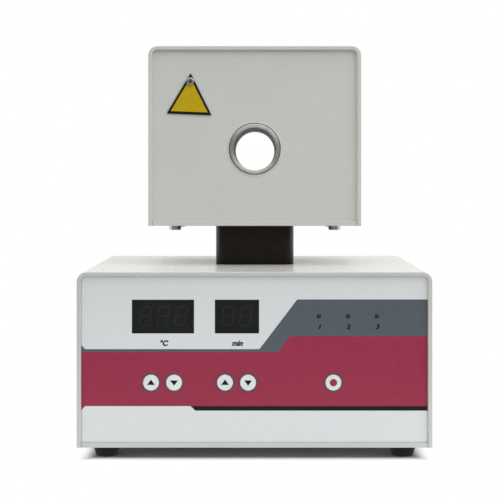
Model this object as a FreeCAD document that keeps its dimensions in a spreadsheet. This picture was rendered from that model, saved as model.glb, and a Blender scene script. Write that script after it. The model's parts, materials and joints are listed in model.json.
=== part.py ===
import FreeCAD, Part
import math
import os

import Sketcher

# A denture injection heater. A control case stands on four rubber feet. A short post on the case
# carries a heater box, and a heated tube runs through that box from front to back.
# Millimetres. X runs to the right as seen from the front, Y to the back and Z up.
# The origin is on the floor, under the centre of the control case.

SIZES = {
    # Control case and heater box
    "case_width": 251.0,
    "case_depth": 170.0,
    "case_height": 124.0,
    "heater_width": 160.0,
    "heater_depth": 100.0,
    "heater_height": 135.2,
    "heater_set_back": 55.0,
    "corner_radius": 7.0,
    "sheet_wall": 1.5,
    "rim_wall": 3.0,
    "panel_wall": 1.5,
    "panel_recess": 2.5,
    "tray_lip_height": 3.5,
    "tray_lip_gap": 0.2,
    "tray_flange_height": 14.0,
    "sheet_gap": 0.2,
    # Post
    "post_width": 59.8,
    "post_depth": 70.0,
    "post_corner": 8.0,
    "post_height": 30.2,
    "post_bore_radius": 14.0,
    "post_screw_circle": 23.0,
    "post_plate_side": 76.0,
    "post_plate_wall": 2.0,
    "post_plate_corner": 4.0,
    # Feet
    "foot_height": 9.7,
    "foot_top_radius": 10.8,
    "foot_base_radius": 7.8,
    "foot_inset_x": 18.9,
    "foot_inset_y": 22.0,
    "foot_recess_radius": 4.6,
    "foot_recess_depth": 6.0,
    # Front film, windows and lamps
    "film_wall": 0.4,
    "film_gap": 0.2,
    "display_row_height": 92.4,
    "window_height": 23.9,
    "temperature_window_width": 44.0,
    "temperature_window_x": -64.7,
    "time_window_width": 31.3,
    "time_window_x": -12.4,
    "window_gap": 0.1,
    "window_flange": 1.0,
    "window_overlap": 2.0,
    "lamp_radius": 1.5,
    "first_lamp_x": 45.6,
    "lamp_pitch": 20.5,
    "lamp_body": 3.6,
    "lamp_collar": 1.0,
    "lamp_collar_width": 0.4,
    "lamp_leg_spread": 1.0,
    "lamp_leg_wall": 0.5,
    # Display modules
    "digit_pitch": 12.7,
    "digit_height": 14.2,
    "digit_width": 7.4,
    "segment_width": 1.5,
    "segment_proud": 0.2,
    "segment_gap": 0.3,
    "digit_lean": 8.0,
    "module_height": 19.0,
    "module_depth": 8.0,
    "module_gap": 0.4,
    # Keys
    "key_radius": 5.6,
    "key_flange_radius": 6.9,
    "key_flange_wall": 1.0,
    "key_stem_radius": 2.0,
    "key_gap": 0.3,
    "key_proud": 0.2,
    "key_edge": 0.3,
    "key_travel": 0.5,
    "key_row_height": 45.7,
    "temperature_keys_x": -65.0,
    "time_keys_x": -12.7,
    "key_pair_pitch": 16.3,
    "timer_key_x": 55.8,
    "switch_side": 6.0,
    "switch_height": 3.5,
    "actuator_radius": 1.75,
    "actuator_height": 1.5,
    # Boards
    "board_wall": 1.6,
    "control_board_width": 198.0,
    "control_board_low": 27.0,
    "control_board_drop": 6.0,
    "power_board_width": 150.0,
    "power_board_depth": 92.0,
    "power_board_y": 16.0,
    "chip_length": 52.0,
    "chip_width": 14.0,
    "chip_wall": 4.0,
    "chip_socket_margin": 4.0,
    "buzzer_radius": 6.0,
    "buzzer_height": 9.0,
    "buzzer_hole_radius": 1.0,
    "buzzer_x": 75.0,
    "board_screw_inset": 5.0,
    "spacer_radius": 3.0,
    "power_spacer_height": 6.0,
    "spacer_hole_depth": 5.0,
    # Screws
    "small_screw_radius": 1.5,
    "small_head_radius": 2.8,
    "small_head_height": 1.8,
    "small_screw_length": 6.0,
    "sunk_head_depth": 1.2,
    "medium_screw_radius": 2.0,
    "medium_head_radius": 3.8,
    "medium_head_height": 2.6,
    "medium_screw_length": 12.0,
    "thread_gap": 0.05,
    "hole_gap": 0.25,
    "cover_screw_inset": 30.0,
    "cover_screw_height": 9.0,
    # Rear panel
    "vent_left": -80.0,
    "vent_length": 50.0,
    "vent_low": 30.0,
    "vent_pitch": 8.0,
    "vent_height": 2.4,
    # Power inlet with its fuse drawer and rocker switch
    "inlet_x": 70.0,
    "inlet_height": 62.0,
    "inlet_flange_width": 50.0,
    "inlet_flange_height": 62.0,
    "inlet_corner": 4.0,
    "inlet_body_width": 31.0,
    "inlet_body_height": 57.0,
    "inlet_body_depth": 26.0,
    "inlet_screw_x": 20.0,
    "socket_width": 24.2,
    "socket_height": 16.6,
    "socket_depth": 17.0,
    "socket_corner": 4.5,
    "socket_drop": 14.0,
    "blade_wall": 2.0,
    "blade_height": 4.0,
    "blade_spread": 7.0,
    "blade_offset": 2.0,
    "blade_recess": 4.6,
    "blade_tail": 8.0,
    "drawer_width": 26.0,
    "drawer_height": 8.0,
    "drawer_depth": 16.0,
    "drawer_rise": 6.0,
    "drawer_gap": 0.3,
    "drawer_grip": 1.2,
    "drawer_grip_width": 8.0,
    "drawer_grip_height": 1.2,
    "drawer_wall": 1.5,
    "fuse_radius": 2.6,
    "fuse_length": 20.0,
    "fuse_gap": 0.2,
    "rocker_half_width": 9.8,
    "rocker_height": 11.4,
    "rocker_rise": 20.0,
    "rocker_tilt": 7.0,
    "rocker_gap": 0.3,
    "rocker_swing": 0.7,
    "rocker_pivot_depth": 4.0,
    "rocker_proud": 0.5,
    "rocker_below_pivot": 2.5,
    "rocker_pin_radius": 1.2,
    "rocker_pin_length": 1.6,
    "running_gap": 0.05,
    "rocker_cell_depth": 9.0,
    # Parts on the power board
    "board_part_gap": 3.0,
    "transformer_width": 48.0,
    "transformer_depth": 40.0,
    "transformer_height": 34.0,
    "transformer_coil": 5.0,
    "capacitor_radius": 8.0,
    "capacitor_height": 25.0,
    "capacitor_inset_x": 7.0,
    "vent_cut_length": 10.0,
    "vent_cut_width": 0.6,
    "vent_cut_depth": 0.4,
    "heat_sink_width": 45.0,
    "heat_sink_height": 38.0,
    "heat_sink_wall": 3.0,
    "heat_sink_inset_y": 24.0,
    "fin_length": 14.0,
    "fin_wall": 1.5,
    "triac_width": 10.0,
    "triac_height": 15.0,
    "triac_wall": 4.5,
    "triac_rise": 8.0,
    "triac_leg_pitch": 2.5,
    "triac_leg_width": 0.8,
    "terminal_width": 30.0,
    "terminal_depth": 34.0,
    "terminal_height": 14.0,
    "terminal_well_radius": 2.2,
    "terminal_well_depth": 3.0,
    "terminal_well_inset": 6.0,
    # Tube and what is round it
    "bore_radius": 16.0,
    "tube_wall": 3.0,
    "bore_height": 57.9,
    "tube_proud": 1.0,
    "tube_hole_gap": 0.5,
    "hole_lip_width": 1.0,
    "hole_lip_rise": 0.5,
    "mouth_chamfer": 0.5,
    "ring_wall": 1.5,
    "ring_radius": 23.5,
    "ring_groove": 0.8,
    "ring_opening": 8.0,
    "bolt_inset_x": 18.7,
    "bolt_inset_y": 23.0,
    "bolt_radius": 2.5,
    "bolt_head_radius": 4.5,
    "bolt_head_height": 4.0,
    "nut_height": 4.0,
    "bolt_end": 1.5,
    "cradle_wall": 2.0,
    "cradle_foot_depth": 20.0,
    "cradle_foot_width": 16.0,
    "cradle_shoulder": 30.0,
    "cradle_corner": 12.0,
    "cradle_side_height": 16.0,
    "band_wall": 3.5,
    "band_length": 52.0,
    "band_slit": 5.0,
    "band_ear_wall": 3.0,
    "band_ear_length": 11.0,
    "band_ear_depth": 16.0,
    "tab_drop": 10.0,
    "tab_height": 5.0,
    "tab_depth": 34.0,
    "tab_length": 9.0,
    "insulation_radius": 41.0,
    "insulation_length": 68.0,
    "insulation_slot": 28.0,
    "soft_gap": 0.3,
    "probe_radius": 2.0,
    "probe_length": 22.0,
    "probe_offset": 30.0,
    # Ceramic block and leads
    "block_width": 18.0,
    "block_depth": 32.0,
    "block_height": 14.0,
    "block_x": 52.0,
    "lead_radius": 1.2,
    "lead_x": 6.0,
    "lead_pitch": 8.0,
    "band_lead_inset": 4.0,
    "band_lead_spread": 12.0,
    "lead_bend": 9.0,
    "lead_height": 7.5,
    "sensor_lead_radius": 1.0,
    "sensor_lead_bend": 5.0,
    "sensor_lead_inset": 8.0,
    # Brackets of the panels
    "bracket_wall": 1.2,
    "bracket_width": 14.0,
    "bracket_height": 16.0,
    "bracket_depth": 8.0,
    "case_bracket_x": 100.0,
    "heater_bracket_x": 40.0,
    # Triangular plate
    "plate_width": 33.8,
    "plate_height": 31.0,
    "plate_corner": 0.4,
    "plate_wall": 0.8,
    "plate_x": -48.4,
    "plate_base_height": 83.8,
    "plate_turn": -2.3,
    "plate_screw_rise": 24.7,
}

doc = FreeCAD.newDocument("injection_heater")
sheet = doc.addObject("Spreadsheet::Sheet", "Sizes")
for line, (alias, number) in enumerate(SIZES.items(), 1):
    sheet.set(f"A{line}", alias)
    sheet.set(f"B{line}", str(number))
    sheet.setAlias(f"B{line}", alias)
doc.recompute()


class Size:
    """A length that knows its value and the formula on the sheet behind it."""

    def __init__(self, value, formula):
        self.value = value
        self.formula = formula

    def __add__(self, other):
        other = as_size(other)
        return Size(self.value + other.value, f"({self.formula} + {other.formula})")

    def __sub__(self, other):
        other = as_size(other)
        return Size(self.value - other.value, f"({self.formula} - {other.formula})")

    def __mul__(self, other):
        other = as_size(other)
        return Size(self.value * other.value, f"({self.formula} * {other.formula})")

    def __truediv__(self, other):
        other = as_size(other)
        return Size(self.value / other.value, f"({self.formula} / {other.formula})")

    def __neg__(self):
        return self * -1

    def __rsub__(self, other):
        return as_size(other) - self

    __radd__ = __add__
    __rmul__ = __mul__


def as_size(number):
    if isinstance(number, Size):
        return number
    return Size(float(number), f"({float(number)})")


class Table:
    """Gives each size of the sheet by its name."""

    def __getattr__(self, alias):
        return Size(float(sheet.get(alias)), f"Sizes.{alias}")


size = Table()
pieces = []


def bind(thing, prop, length):
    thing.setExpression(prop, as_size(length).formula)


def place(thing, x, y, z, turn=None):
    if turn is not None:
        thing.Placement = FreeCAD.Placement(FreeCAD.Vector(), turn)
    for letter, length in zip("xyz", (x, y, z)):
        bind(thing, f"Placement.Base.{letter}", length)
    return thing


def keep(name, thing):
    """Names a finished sub-part, which is written to its own file."""
    thing.Label = name
    pieces.append(thing)
    return thing


TURN_TO = {
    "x": FreeCAD.Rotation(FreeCAD.Vector(0, 1, 0), 90),
    "y": FreeCAD.Rotation(FreeCAD.Vector(1, 0, 0), -90),
    "z": FreeCAD.Rotation(),
    "-x": FreeCAD.Rotation(FreeCAD.Vector(0, 1, 0), -90),
    "-y": FreeCAD.Rotation(FreeCAD.Vector(1, 0, 0), 90),
    "-z": FreeCAD.Rotation(FreeCAD.Vector(1, 0, 0), 180),
}


# Primitives and booleans


def block(x0, x1, y0, y1, z0, z1):
    """A box between two corners."""
    thing = doc.addObject("Part::Box", "Block")
    bind(thing, "Length", as_size(x1) - x0)
    bind(thing, "Width", as_size(y1) - y0)
    bind(thing, "Height", as_size(z1) - z0)
    return place(thing, x0, y0, z0)


def rod(axis, across, start, end, radius):
    """A cylinder along x, y or z; across holds its other two coordinates."""
    thing = doc.addObject("Part::Cylinder", "Rod")
    bind(thing, "Radius", radius)
    bind(thing, "Height", as_size(end) - start)
    spot = list(across)
    spot.insert("xyz".index(axis), start)
    return place(thing, *spot, TURN_TO[axis])


def cone(axis, across, start, end, start_radius, end_radius):
    thing = doc.addObject("Part::Cone", "Cone")
    bind(thing, "Radius1", start_radius)
    bind(thing, "Radius2", end_radius)
    bind(thing, "Height", as_size(end) - start)
    spot = list(across)
    spot.insert("xyz".index(axis), start)
    return place(thing, *spot, TURN_TO[axis])


def hexagon(axis, across, start, end, corner_radius):
    thing = doc.addObject("Part::Prism", "Hexagon")
    thing.Polygon = 6
    bind(thing, "Circumradius", corner_radius)
    bind(thing, "Height", as_size(end) - start)
    spot = list(across)
    spot.insert("xyz".index(axis), start)
    return place(thing, *spot, TURN_TO[axis])


def group(things):
    thing = doc.addObject("Part::Compound", "Group")
    thing.Links = things
    return thing


def fuse(things):
    thing = doc.addObject("Part::MultiFuse", "Fuse")
    thing.Shapes = things
    thing.Refine = True
    return thing


def cut(base, tools):
    thing = doc.addObject("Part::Cut", "Cut")
    thing.Base = base
    thing.Tool = tools[0] if len(tools) == 1 else group(tools)
    return thing


def copies(original, places):
    """Copies of one solid; each place is x, y, z and a turn."""
    links = []
    for x, y, z, turn in places:
        link = doc.addObject("App::Link", "Copy")
        link.LinkedObject = original
        links.append(place(link, x, y, z, turn))
    return group(links)


# Sketches. Each drawing function below returns a function that draws on a sketch.


def constrain(sketch, rules):
    """Adds constraints in one go; a rule is a constraint's arguments and its size or None."""
    first = sketch.ConstraintCount
    sketch.addConstraint([Sketcher.Constraint(*arguments) for arguments, _ in rules])
    for index, (_, length) in enumerate(rules, first):
        if length is not None:
            bind(sketch, f"Constraints[{index}]", length)


def pin_point(geometry, position, x, y):
    """The two rules that fix a point to the sketch's origin."""
    return [
        (("DistanceX", -1, 1, geometry, position, as_size(x).value), x),
        (("DistanceY", -1, 1, geometry, position, as_size(y).value), y),
    ]


def set_radius(geometry, radius):
    return ("Radius", geometry, as_size(radius).value), radius


def circle(x, y, radius):
    def draw(sketch):
        centre = FreeCAD.Vector(as_size(x).value, as_size(y).value, 0)
        ring = Part.Circle(centre, FreeCAD.Vector(0, 0, 1), as_size(radius).value)
        geometry = sketch.addGeometry(ring, False)
        constrain(sketch, [*pin_point(geometry, 3, x, y), set_radius(geometry, radius)])

    return draw


def corner_arc(before, corner, after, radius):
    """The arc that rounds a corner, as its two ends and its middle."""
    back = (before - corner).normalize()
    on = (after - corner).normalize()
    half = back.getAngle(on) / 2
    reach = radius / math.tan(half)
    centre = corner + (back + on).normalize() * (radius / math.sin(half))
    middle = centre + (corner - centre).normalize() * radius
    return corner + back * reach, middle, corner + on * reach


def outline(points, closed=True):
    """Straight lines through points; a point's third number rounds its corner."""

    def draw(sketch):
        spots = [FreeCAD.Vector(as_size(p[0]).value, as_size(p[1]).value, 0) for p in points]
        radii = [as_size(p[2]) if len(p) > 2 else as_size(0) for p in points]
        rules = []
        marks = []
        for spot, point in zip(spots, points):
            mark = sketch.addGeometry(Part.Point(spot), True)
            rules += pin_point(mark, 1, point[0], point[1])
            marks.append(mark)
        count = len(points)
        arcs = {}
        for i in range(count):
            if radii[i].value > 0:
                arcs[i] = corner_arc(spots[i - 1], spots[i], spots[(i + 1) % count], radii[i].value)
        lines = []
        for i in range(count if closed else count - 1):
            j = (i + 1) % count
            start = arcs[i][2] if i in arcs else spots[i]
            end = arcs[j][0] if j in arcs else spots[j]
            line = sketch.addGeometry(Part.LineSegment(start, end), False)
            if closed or i > 0:
                rules.append((("PointOnObject", marks[i], 1, line), None))
            if closed or j < count - 1:
                rules.append((("PointOnObject", marks[j], 1, line), None))
            lines.append(line)
        for i in range(count):
            if not closed and i in (0, count - 1):
                line, end = (lines[0], 1) if i == 0 else (lines[-1], 2)
                rules.append((("Coincident", line, end, marks[i], 1), None))
                continue
            before, after = lines[i - 1], lines[i]
            if i not in arcs:
                rules.append((("Coincident", before, 2, after, 1), None))
                continue
            arc = sketch.addGeometry(Part.Arc(*arcs[i]), False)
            first = 1 if (sketch.getPoint(arc, 1) - arcs[i][0]).Length < 1e-6 else 2
            rules.append(set_radius(arc, radii[i]))
            rules.append((("Tangent", before, 2, arc, first), None))
            rules.append((("Tangent", after, 1, arc, 3 - first), None))
        constrain(sketch, rules)

    return draw


def rectangle(x0, y0, x1, y1, radius=0):
    return outline([(x0, y0, radius), (x1, y0, radius), (x1, y1, radius), (x0, y1, radius)])


def arch(half_width, low, high, radius, wall):
    """A sheet bent over the top, as an outline of even wall."""
    inner = half_width - wall
    inner_radius = radius - wall
    return outline(
        [
            (-half_width, low),
            (-half_width, high, radius),
            (half_width, high, radius),
            (half_width, low),
            (inner, low),
            (inner, high - wall, inner_radius),
            (-inner, high - wall, inner_radius),
            (-inner, low),
        ]
    )


# Bodies. A feature lies between two planes, from start to end along the axis of its normal.

PLANES = {"x": ("YZ_Plane", 1), "y": ("XZ_Plane", -1), "z": ("XY_Plane", 1)}


def new_body():
    return doc.addObject("PartDesign::Body", "Body")


def new_sketch(body, axis, at, *drawings):
    """A sketch square to an axis. Its own two axes are the other two, in x, y, z order."""
    role, sign = PLANES[axis]
    plane = next(item for item in body.Origin.OriginFeatures if item.Role == role)
    sketch = body.newObject("Sketcher::SketchObject", "Sketch")
    sketch.AttachmentSupport = (plane, [""])
    sketch.MapMode = "FlatFace"
    bind(sketch, ".AttachmentOffset.Base.z", as_size(at) * sign)
    for draw in drawings:
        draw(sketch)
    return sketch


def add(body, axis, start, end, *drawings):
    pad = body.newObject("PartDesign::Pad", "Pad")
    pad.Profile = new_sketch(body, axis, start, *drawings)
    bind(pad, "Length", as_size(end) - start)
    pad.Reversed = PLANES[axis][1] < 0
    return pad


def remove(body, axis, start, end, *drawings):
    pocket = body.newObject("PartDesign::Pocket", "Pocket")
    pocket.Profile = new_sketch(body, axis, start, *drawings)
    bind(pocket, "Length", as_size(end) - start)
    pocket.Reversed = PLANES[axis][1] > 0
    return pocket


def repeat_upwards(body, feature, length, count):
    """Repeats a cut along its sketch's second axis, over a length from first to last."""
    pattern = body.newObject("PartDesign::LinearPattern", "Pattern")
    pattern.Originals = [feature]
    pattern.Direction = (feature.Profile[0], ["V_Axis"])
    bind(pattern, "Length", length)
    pattern.Occurrences = count
    body.Tip = pattern


def edges_where(body, test):
    body.recompute(True)
    return [f"Edge{i}" for i, edge in enumerate(body.Tip.Shape.Edges, 1) if test(edge)]


def chamfer(body, distance, test):
    """Cuts the edges that pass a test back at 45 degrees."""
    names = edges_where(body, test)
    feature = body.newObject("PartDesign::Chamfer", "Chamfer")
    feature.Base = (feature.BaseFeature or body.Tip, names)
    bind(feature, "Size", distance)
    return feature


def fillet(body, radius, test):
    names = edges_where(body, test)
    feature = body.newObject("PartDesign::Fillet", "Fillet")
    feature.Base = (feature.BaseFeature or body.Tip, names)
    bind(feature, "Radius", radius)
    return feature


def is_ring_at(axis, at, radius):
    """A test for a round edge of one radius in one plane square to an axis."""

    def test(edge):
        if not isinstance(edge.Curve, Part.Circle):
            return False
        centre = edge.Curve.Center["xyz".index(axis)]
        near = abs(centre - as_size(at).value) < 1e-4
        return near and abs(edge.Curve.Radius - as_size(radius).value) < 1e-4

    return test


# Planes and places that several pieces share

case_low = size.foot_height
case_high = case_low + size.case_height
case_front = -size.case_depth / 2
case_back = size.case_depth / 2
case_floor = case_low + size.sheet_wall
heater_low = case_high + size.post_height
heater_high = heater_low + size.heater_height
heater_front = case_front + size.heater_set_back
heater_back = heater_front + size.heater_depth
heater_y = heater_front + size.heater_depth / 2
heater_floor = heater_low + size.sheet_wall
bore_z = heater_low + size.bore_height
tube_radius = size.bore_radius + size.tube_wall
panel_face = case_front + size.panel_recess
panel_back = panel_face + size.panel_wall
film_face = panel_face - size.film_wall
display_z = case_low + size.display_row_height
key_z = case_low + size.key_row_height
module_face = panel_back + size.window_flange + size.module_gap
board_face = module_face + size.module_depth
board_back = board_face + size.board_wall
rear_face = case_back - size.panel_recess
inlet_z = case_low + size.inlet_height
inlet_face = case_back
power_board_z = case_floor + size.power_spacer_height
power_board_top = power_board_z + size.board_wall
SIDES = (-1, 1)


def key_places():
    """Each key's name and its x."""
    half = size.key_pair_pitch / 2
    return [
        ("temperature_up_key", size.temperature_keys_x - half),
        ("temperature_down_key", size.temperature_keys_x + half),
        ("time_up_key", size.time_keys_x - half),
        ("time_down_key", size.time_keys_x + half),
        ("timer_key", size.timer_key_x),
    ]


def lamp_places():
    return [size.first_lamp_x + size.lamp_pitch * i for i in range(3)]


def windows():
    """Each window's name, its x, its width and the number of digits behind it."""
    return [
        ("temperature", size.temperature_window_x, size.temperature_window_width, 3),
        ("time", size.time_window_x, size.time_window_width, 2),
    ]


def control_board_ends():
    """The low and the high edge of the upright board behind the front."""
    return case_low + size.control_board_low, case_high - size.control_board_drop


def control_screw_places():
    low, high = control_board_ends()
    low = low + size.board_screw_inset
    high = high - size.board_screw_inset
    reach = size.control_board_width / 2 - size.board_screw_inset
    return [(reach * side, z) for side in SIDES for z in (low, high)]


def power_screw_places():
    reach_x = size.power_board_width / 2 - size.board_screw_inset
    reach_y = size.power_board_depth / 2 - size.board_screw_inset
    return [(reach_x * i, size.power_board_y + reach_y * j) for i in SIDES for j in SIDES]


def foot_places():
    reach_x = size.case_width / 2 - size.foot_inset_x
    reach_y = size.case_depth / 2 - size.foot_inset_y
    return [(reach_x * i, reach_y * j) for i in SIDES for j in SIDES]


def post_screw_places():
    reach = size.post_screw_circle * math.sqrt(0.5)
    return [(reach * i, heater_y + reach * j) for i in SIDES for j in SIDES]


def bolt_places():
    reach_x = size.heater_width / 2 - size.bolt_inset_x
    reach_y = size.heater_depth / 2 - size.bolt_inset_y
    return [(reach_x * i, heater_y + reach_y * j) for i in SIDES for j in SIDES]


def cover_screw_places(front, back):
    return (front + size.cover_screw_inset, back - size.cover_screw_inset)


def holes_at(places, radius):
    return [circle(x, y, radius) for x, y in places]


# Sheet metal boxes


def make_cover(name, width, low, high, front, back, top_holes):
    """Top and sides of a box in one bent sheet, hemmed to a thick rim at both ends."""
    half = width / 2
    body = new_body()
    add(body, "y", front, back, arch(half, low, high, size.corner_radius, size.sheet_wall))
    for start in (front, back - size.panel_recess):
        rim = arch(half, low, high, size.corner_radius, size.rim_wall)
        add(body, "y", start, start + size.panel_recess, rim)
    if top_holes:
        remove(body, "z", high - size.sheet_wall, high, *top_holes)
    sinks = []
    for side in SIDES:
        for y in cover_screw_places(front, back):
            spot = (y, low + size.cover_screw_height)
            outer = half * side
            neck = (half - size.sunk_head_depth) * side
            inner = (half - size.sheet_wall * 2) * side
            shank = size.small_screw_radius + size.thread_gap
            sinks.append(side_cone(side, spot, outer, neck, size.small_head_radius, shank))
            sinks.append(side_rod(side, spot, outer, inner, shank))
    return keep(name, cut(body, sinks))


def side_cone(side, spot, outer, inner, outer_radius, inner_radius):
    """A cone along x in a side wall; outer is its end outside the box."""
    if side > 0:
        return cone("x", spot, inner, outer, inner_radius, outer_radius)
    return cone("x", spot, outer, inner, outer_radius, inner_radius)


def side_rod(side, spot, outer, inner, radius):
    if side > 0:
        return rod("x", spot, inner, outer, radius)
    return rod("x", spot, outer, inner, radius)


def make_tray(name, width, low, front, back, floor_holes):
    """Floor of a box, with a low lip just outside each end plate and a flange on each side."""
    wall = size.sheet_wall
    lip_front = front + size.panel_recess - size.tray_lip_gap - wall
    lip_back = back - size.panel_recess + size.tray_lip_gap + wall
    narrow = width / 2 - size.rim_wall - size.sheet_gap
    wide = width / 2 - wall - size.sheet_gap
    flange_front = front + size.panel_recess + size.panel_wall + size.sheet_gap
    flange_back = back - size.panel_recess - size.panel_wall - size.sheet_gap
    body = new_body()
    add(body, "z", low, low + wall, rectangle(-narrow, lip_front, narrow, lip_back))
    seat_front = front + size.panel_recess
    seat_back = back - size.panel_recess
    add(body, "z", low, low + wall, rectangle(-wide, seat_front, wide, seat_back))
    lips = [
        rectangle(-narrow, lip_front, narrow, lip_front + wall),
        rectangle(-narrow, lip_back - wall, narrow, lip_back),
    ]
    add(body, "z", low, low + size.tray_lip_height, *lips)
    flanges = [
        rectangle(-wide, flange_front, -wide + wall, flange_back),
        rectangle(wide - wall, flange_front, wide, flange_back),
    ]
    add(body, "z", low, low + size.tray_flange_height, *flanges)
    remove(body, "z", low, low + wall, *floor_holes)
    screws = [
        circle(y, low + size.cover_screw_height, size.small_screw_radius + size.thread_gap)
        for y in cover_screw_places(front, back)
    ]
    remove(body, "x", -wide, wide, *screws)
    return keep(name, body)


def make_panel(name, width, low, high, start, holes):
    """An end plate that stands on the tray and bears on the back of the cover's rim."""
    reach = width / 2 - size.sheet_wall - size.sheet_gap
    top = high - size.sheet_wall - size.sheet_gap
    radius = size.corner_radius - size.sheet_wall - size.sheet_gap
    plate = outline(
        [
            (-reach, low + size.sheet_wall),
            (reach, low + size.sheet_wall),
            (reach, top, radius),
            (-reach, top, radius),
        ]
    )
    body = new_body()
    add(body, "y", start, start + size.panel_wall, plate, *holes)
    keep(name, body)
    return body


def make_case_sheets():
    wire_hole = circle(0, heater_y, size.post_bore_radius)
    clearance = size.medium_screw_radius + size.hole_gap
    post_holes = holes_at(post_screw_places(), clearance)
    make_cover(
        "case_cover",
        size.case_width,
        case_low,
        case_high,
        case_front,
        case_back,
        [wire_hole, *post_holes],
    )
    foot_holes = holes_at(foot_places(), size.medium_screw_radius + size.thread_gap)
    spacer_holes = holes_at(power_screw_places(), size.small_screw_radius + size.thread_gap)
    make_tray(
        "case_tray",
        size.case_width,
        case_low,
        case_front,
        case_back,
        foot_holes + spacer_holes,
    )


def make_heater_sheets():
    """The heater box; both of its panels have a raised lip round the tube's hole."""
    make_cover(
        "heater_cover",
        size.heater_width,
        heater_low,
        heater_high,
        heater_front,
        heater_back,
        [],
    )
    clearance = size.medium_screw_radius + size.hole_gap
    holes = [circle(0, heater_y, size.post_bore_radius)]
    holes += holes_at(post_screw_places(), clearance)
    holes += holes_at(bolt_places(), size.bolt_radius + size.hole_gap)
    make_tray("heater_tray", size.heater_width, heater_low, heater_front, heater_back, holes)
    plate_screw = circle(
        size.plate_x, heater_low + size.plate_base_height + size.plate_screw_rise, plate_screw_hole()
    )
    hole = tube_radius + size.tube_hole_gap
    lip = hole + size.hole_lip_width
    rise = size.hole_lip_rise
    front = heater_front + size.panel_recess
    back = heater_back - size.panel_recess
    width, low, high = size.heater_width, heater_low, heater_high
    openings = [circle(0, bore_z, hole), plate_screw]
    panel = make_panel("heater_front_panel", width, low, high, front, openings)
    add(panel, "y", *ring(lip, hole, front - rise, front))
    start = back - size.panel_wall
    panel = make_panel("heater_rear_panel", width, low, high, start, [circle(0, bore_z, hole)])
    add(panel, "y", *ring(lip, hole, back, back + rise))


def plate_screw_hole():
    return size.small_screw_radius + size.thread_gap


# Front of the control case


def window_rectangle(x, width, grow):
    half = width / 2 + grow
    rise = size.window_height / 2 + grow
    return rectangle(x - half, display_z - rise, x + half, display_z + rise)


def front_openings():
    """Windows, key holes and lamp holes, as the film and the plate both have them."""
    drawings = [window_rectangle(x, width, 0) for _, x, width, _ in windows()]
    drawings += [circle(x, key_z, size.key_radius + size.key_gap) for _, x in key_places()]
    drawings += [circle(x, display_z, size.lamp_radius + size.window_gap) for x in lamp_places()]
    return drawings


def make_front():
    low, high = case_low, case_high
    make_panel("front_panel", size.case_width, low, high, panel_face, front_openings())
    reach = size.case_width / 2 - size.rim_wall - size.film_gap
    bottom = case_low + size.tray_lip_height + size.film_gap
    top = case_high - size.rim_wall - size.film_gap
    radius = size.corner_radius - size.rim_wall - size.film_gap
    film = outline([(-reach, bottom), (reach, bottom), (reach, top, radius), (-reach, top, radius)])
    body = new_body()
    add(body, "y", film_face, panel_face, film, *front_openings())
    keep("front_film", body)


def make_window(name, x, width):
    """A smoked pane that fills its cut-out, with a wider flange glued behind the plate."""
    face = film_face + size.window_gap
    back = panel_back + size.window_flange
    body = new_body()
    add(body, "y", face, back, window_rectangle(x, width, -size.window_gap))
    add(body, "y", panel_back, back, window_rectangle(x, width, size.window_overlap))
    keep(f"{name}_window", body)


def make_display(name, x, digits):
    """The moulded housing of a row of digits, which stands on the control board."""
    half = size.digit_pitch * digits / 2 - size.window_gap
    rise = size.module_height / 2
    body = new_body()
    face = rectangle(x - half, display_z - rise, x + half, display_z + rise)
    add(body, "y", module_face, board_face, face)
    keep(f"{name}_display", body)


def segment(x0, z0, x1, z1):
    """The corners of one bar of a digit, pointed at both ends, between two points."""
    half = size.segment_width.value / 2
    along = FreeCAD.Vector(x1 - x0, 0, z1 - z0).normalize()
    aside = FreeCAD.Vector(along.z, 0, -along.x) * half
    start = FreeCAD.Vector(x0, 0, z0) + along * (size.segment_gap.value / 2)
    end = FreeCAD.Vector(x1, 0, z1) - along * (size.segment_gap.value / 2)
    return [
        start,
        start + along * half + aside,
        end - along * half + aside,
        end,
        end - along * half - aside,
        start + along * half - aside,
    ]


def digit_shapes(x, z):
    """The seven bars and the point of one digit, centred at x and z."""
    half = size.digit_width.value / 2
    rise = (size.digit_height.value - size.segment_width.value) / 2
    lean = math.tan(math.radians(size.digit_lean.value))
    bars = [
        (-half, rise, half, rise),
        (-half, 0, half, 0),
        (-half, -rise, half, -rise),
        (-half, 0, -half, rise),
        (half, 0, half, rise),
        (-half, -rise, -half, 0),
        (half, -rise, half, 0),
    ]
    face = module_face.value
    out = FreeCAD.Vector(0, -size.segment_proud.value, 0)
    shapes = []
    for bar in bars:
        points = [FreeCAD.Vector(x + p.x + p.z * lean, face, z + p.z) for p in segment(*bar)]
        shapes.append(Part.Face(Part.makePolygon([*points, points[0]])).extrude(out))
    radius = size.segment_width.value / 2
    point_x = x + half + radius * 2 + size.segment_gap.value - rise * lean
    spot = FreeCAD.Vector(point_x, face, z - rise)
    shapes.append(Part.makeCylinder(radius, size.segment_proud.value, spot, out))
    return shapes


def make_digits():
    """The unlit bars of all digits, which stand just proud of the housings."""
    shapes = []
    for _, x, _, digits in windows():
        first = x.value - size.digit_pitch.value * (digits - 1) / 2
        for i in range(digits):
            shapes += digit_shapes(first + size.digit_pitch.value * i, display_z.value)
    thing = doc.addObject("Part::Feature", "Digits")
    thing.Shape = Part.makeCompound(shapes)
    keep("display_digits", thing)


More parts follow.
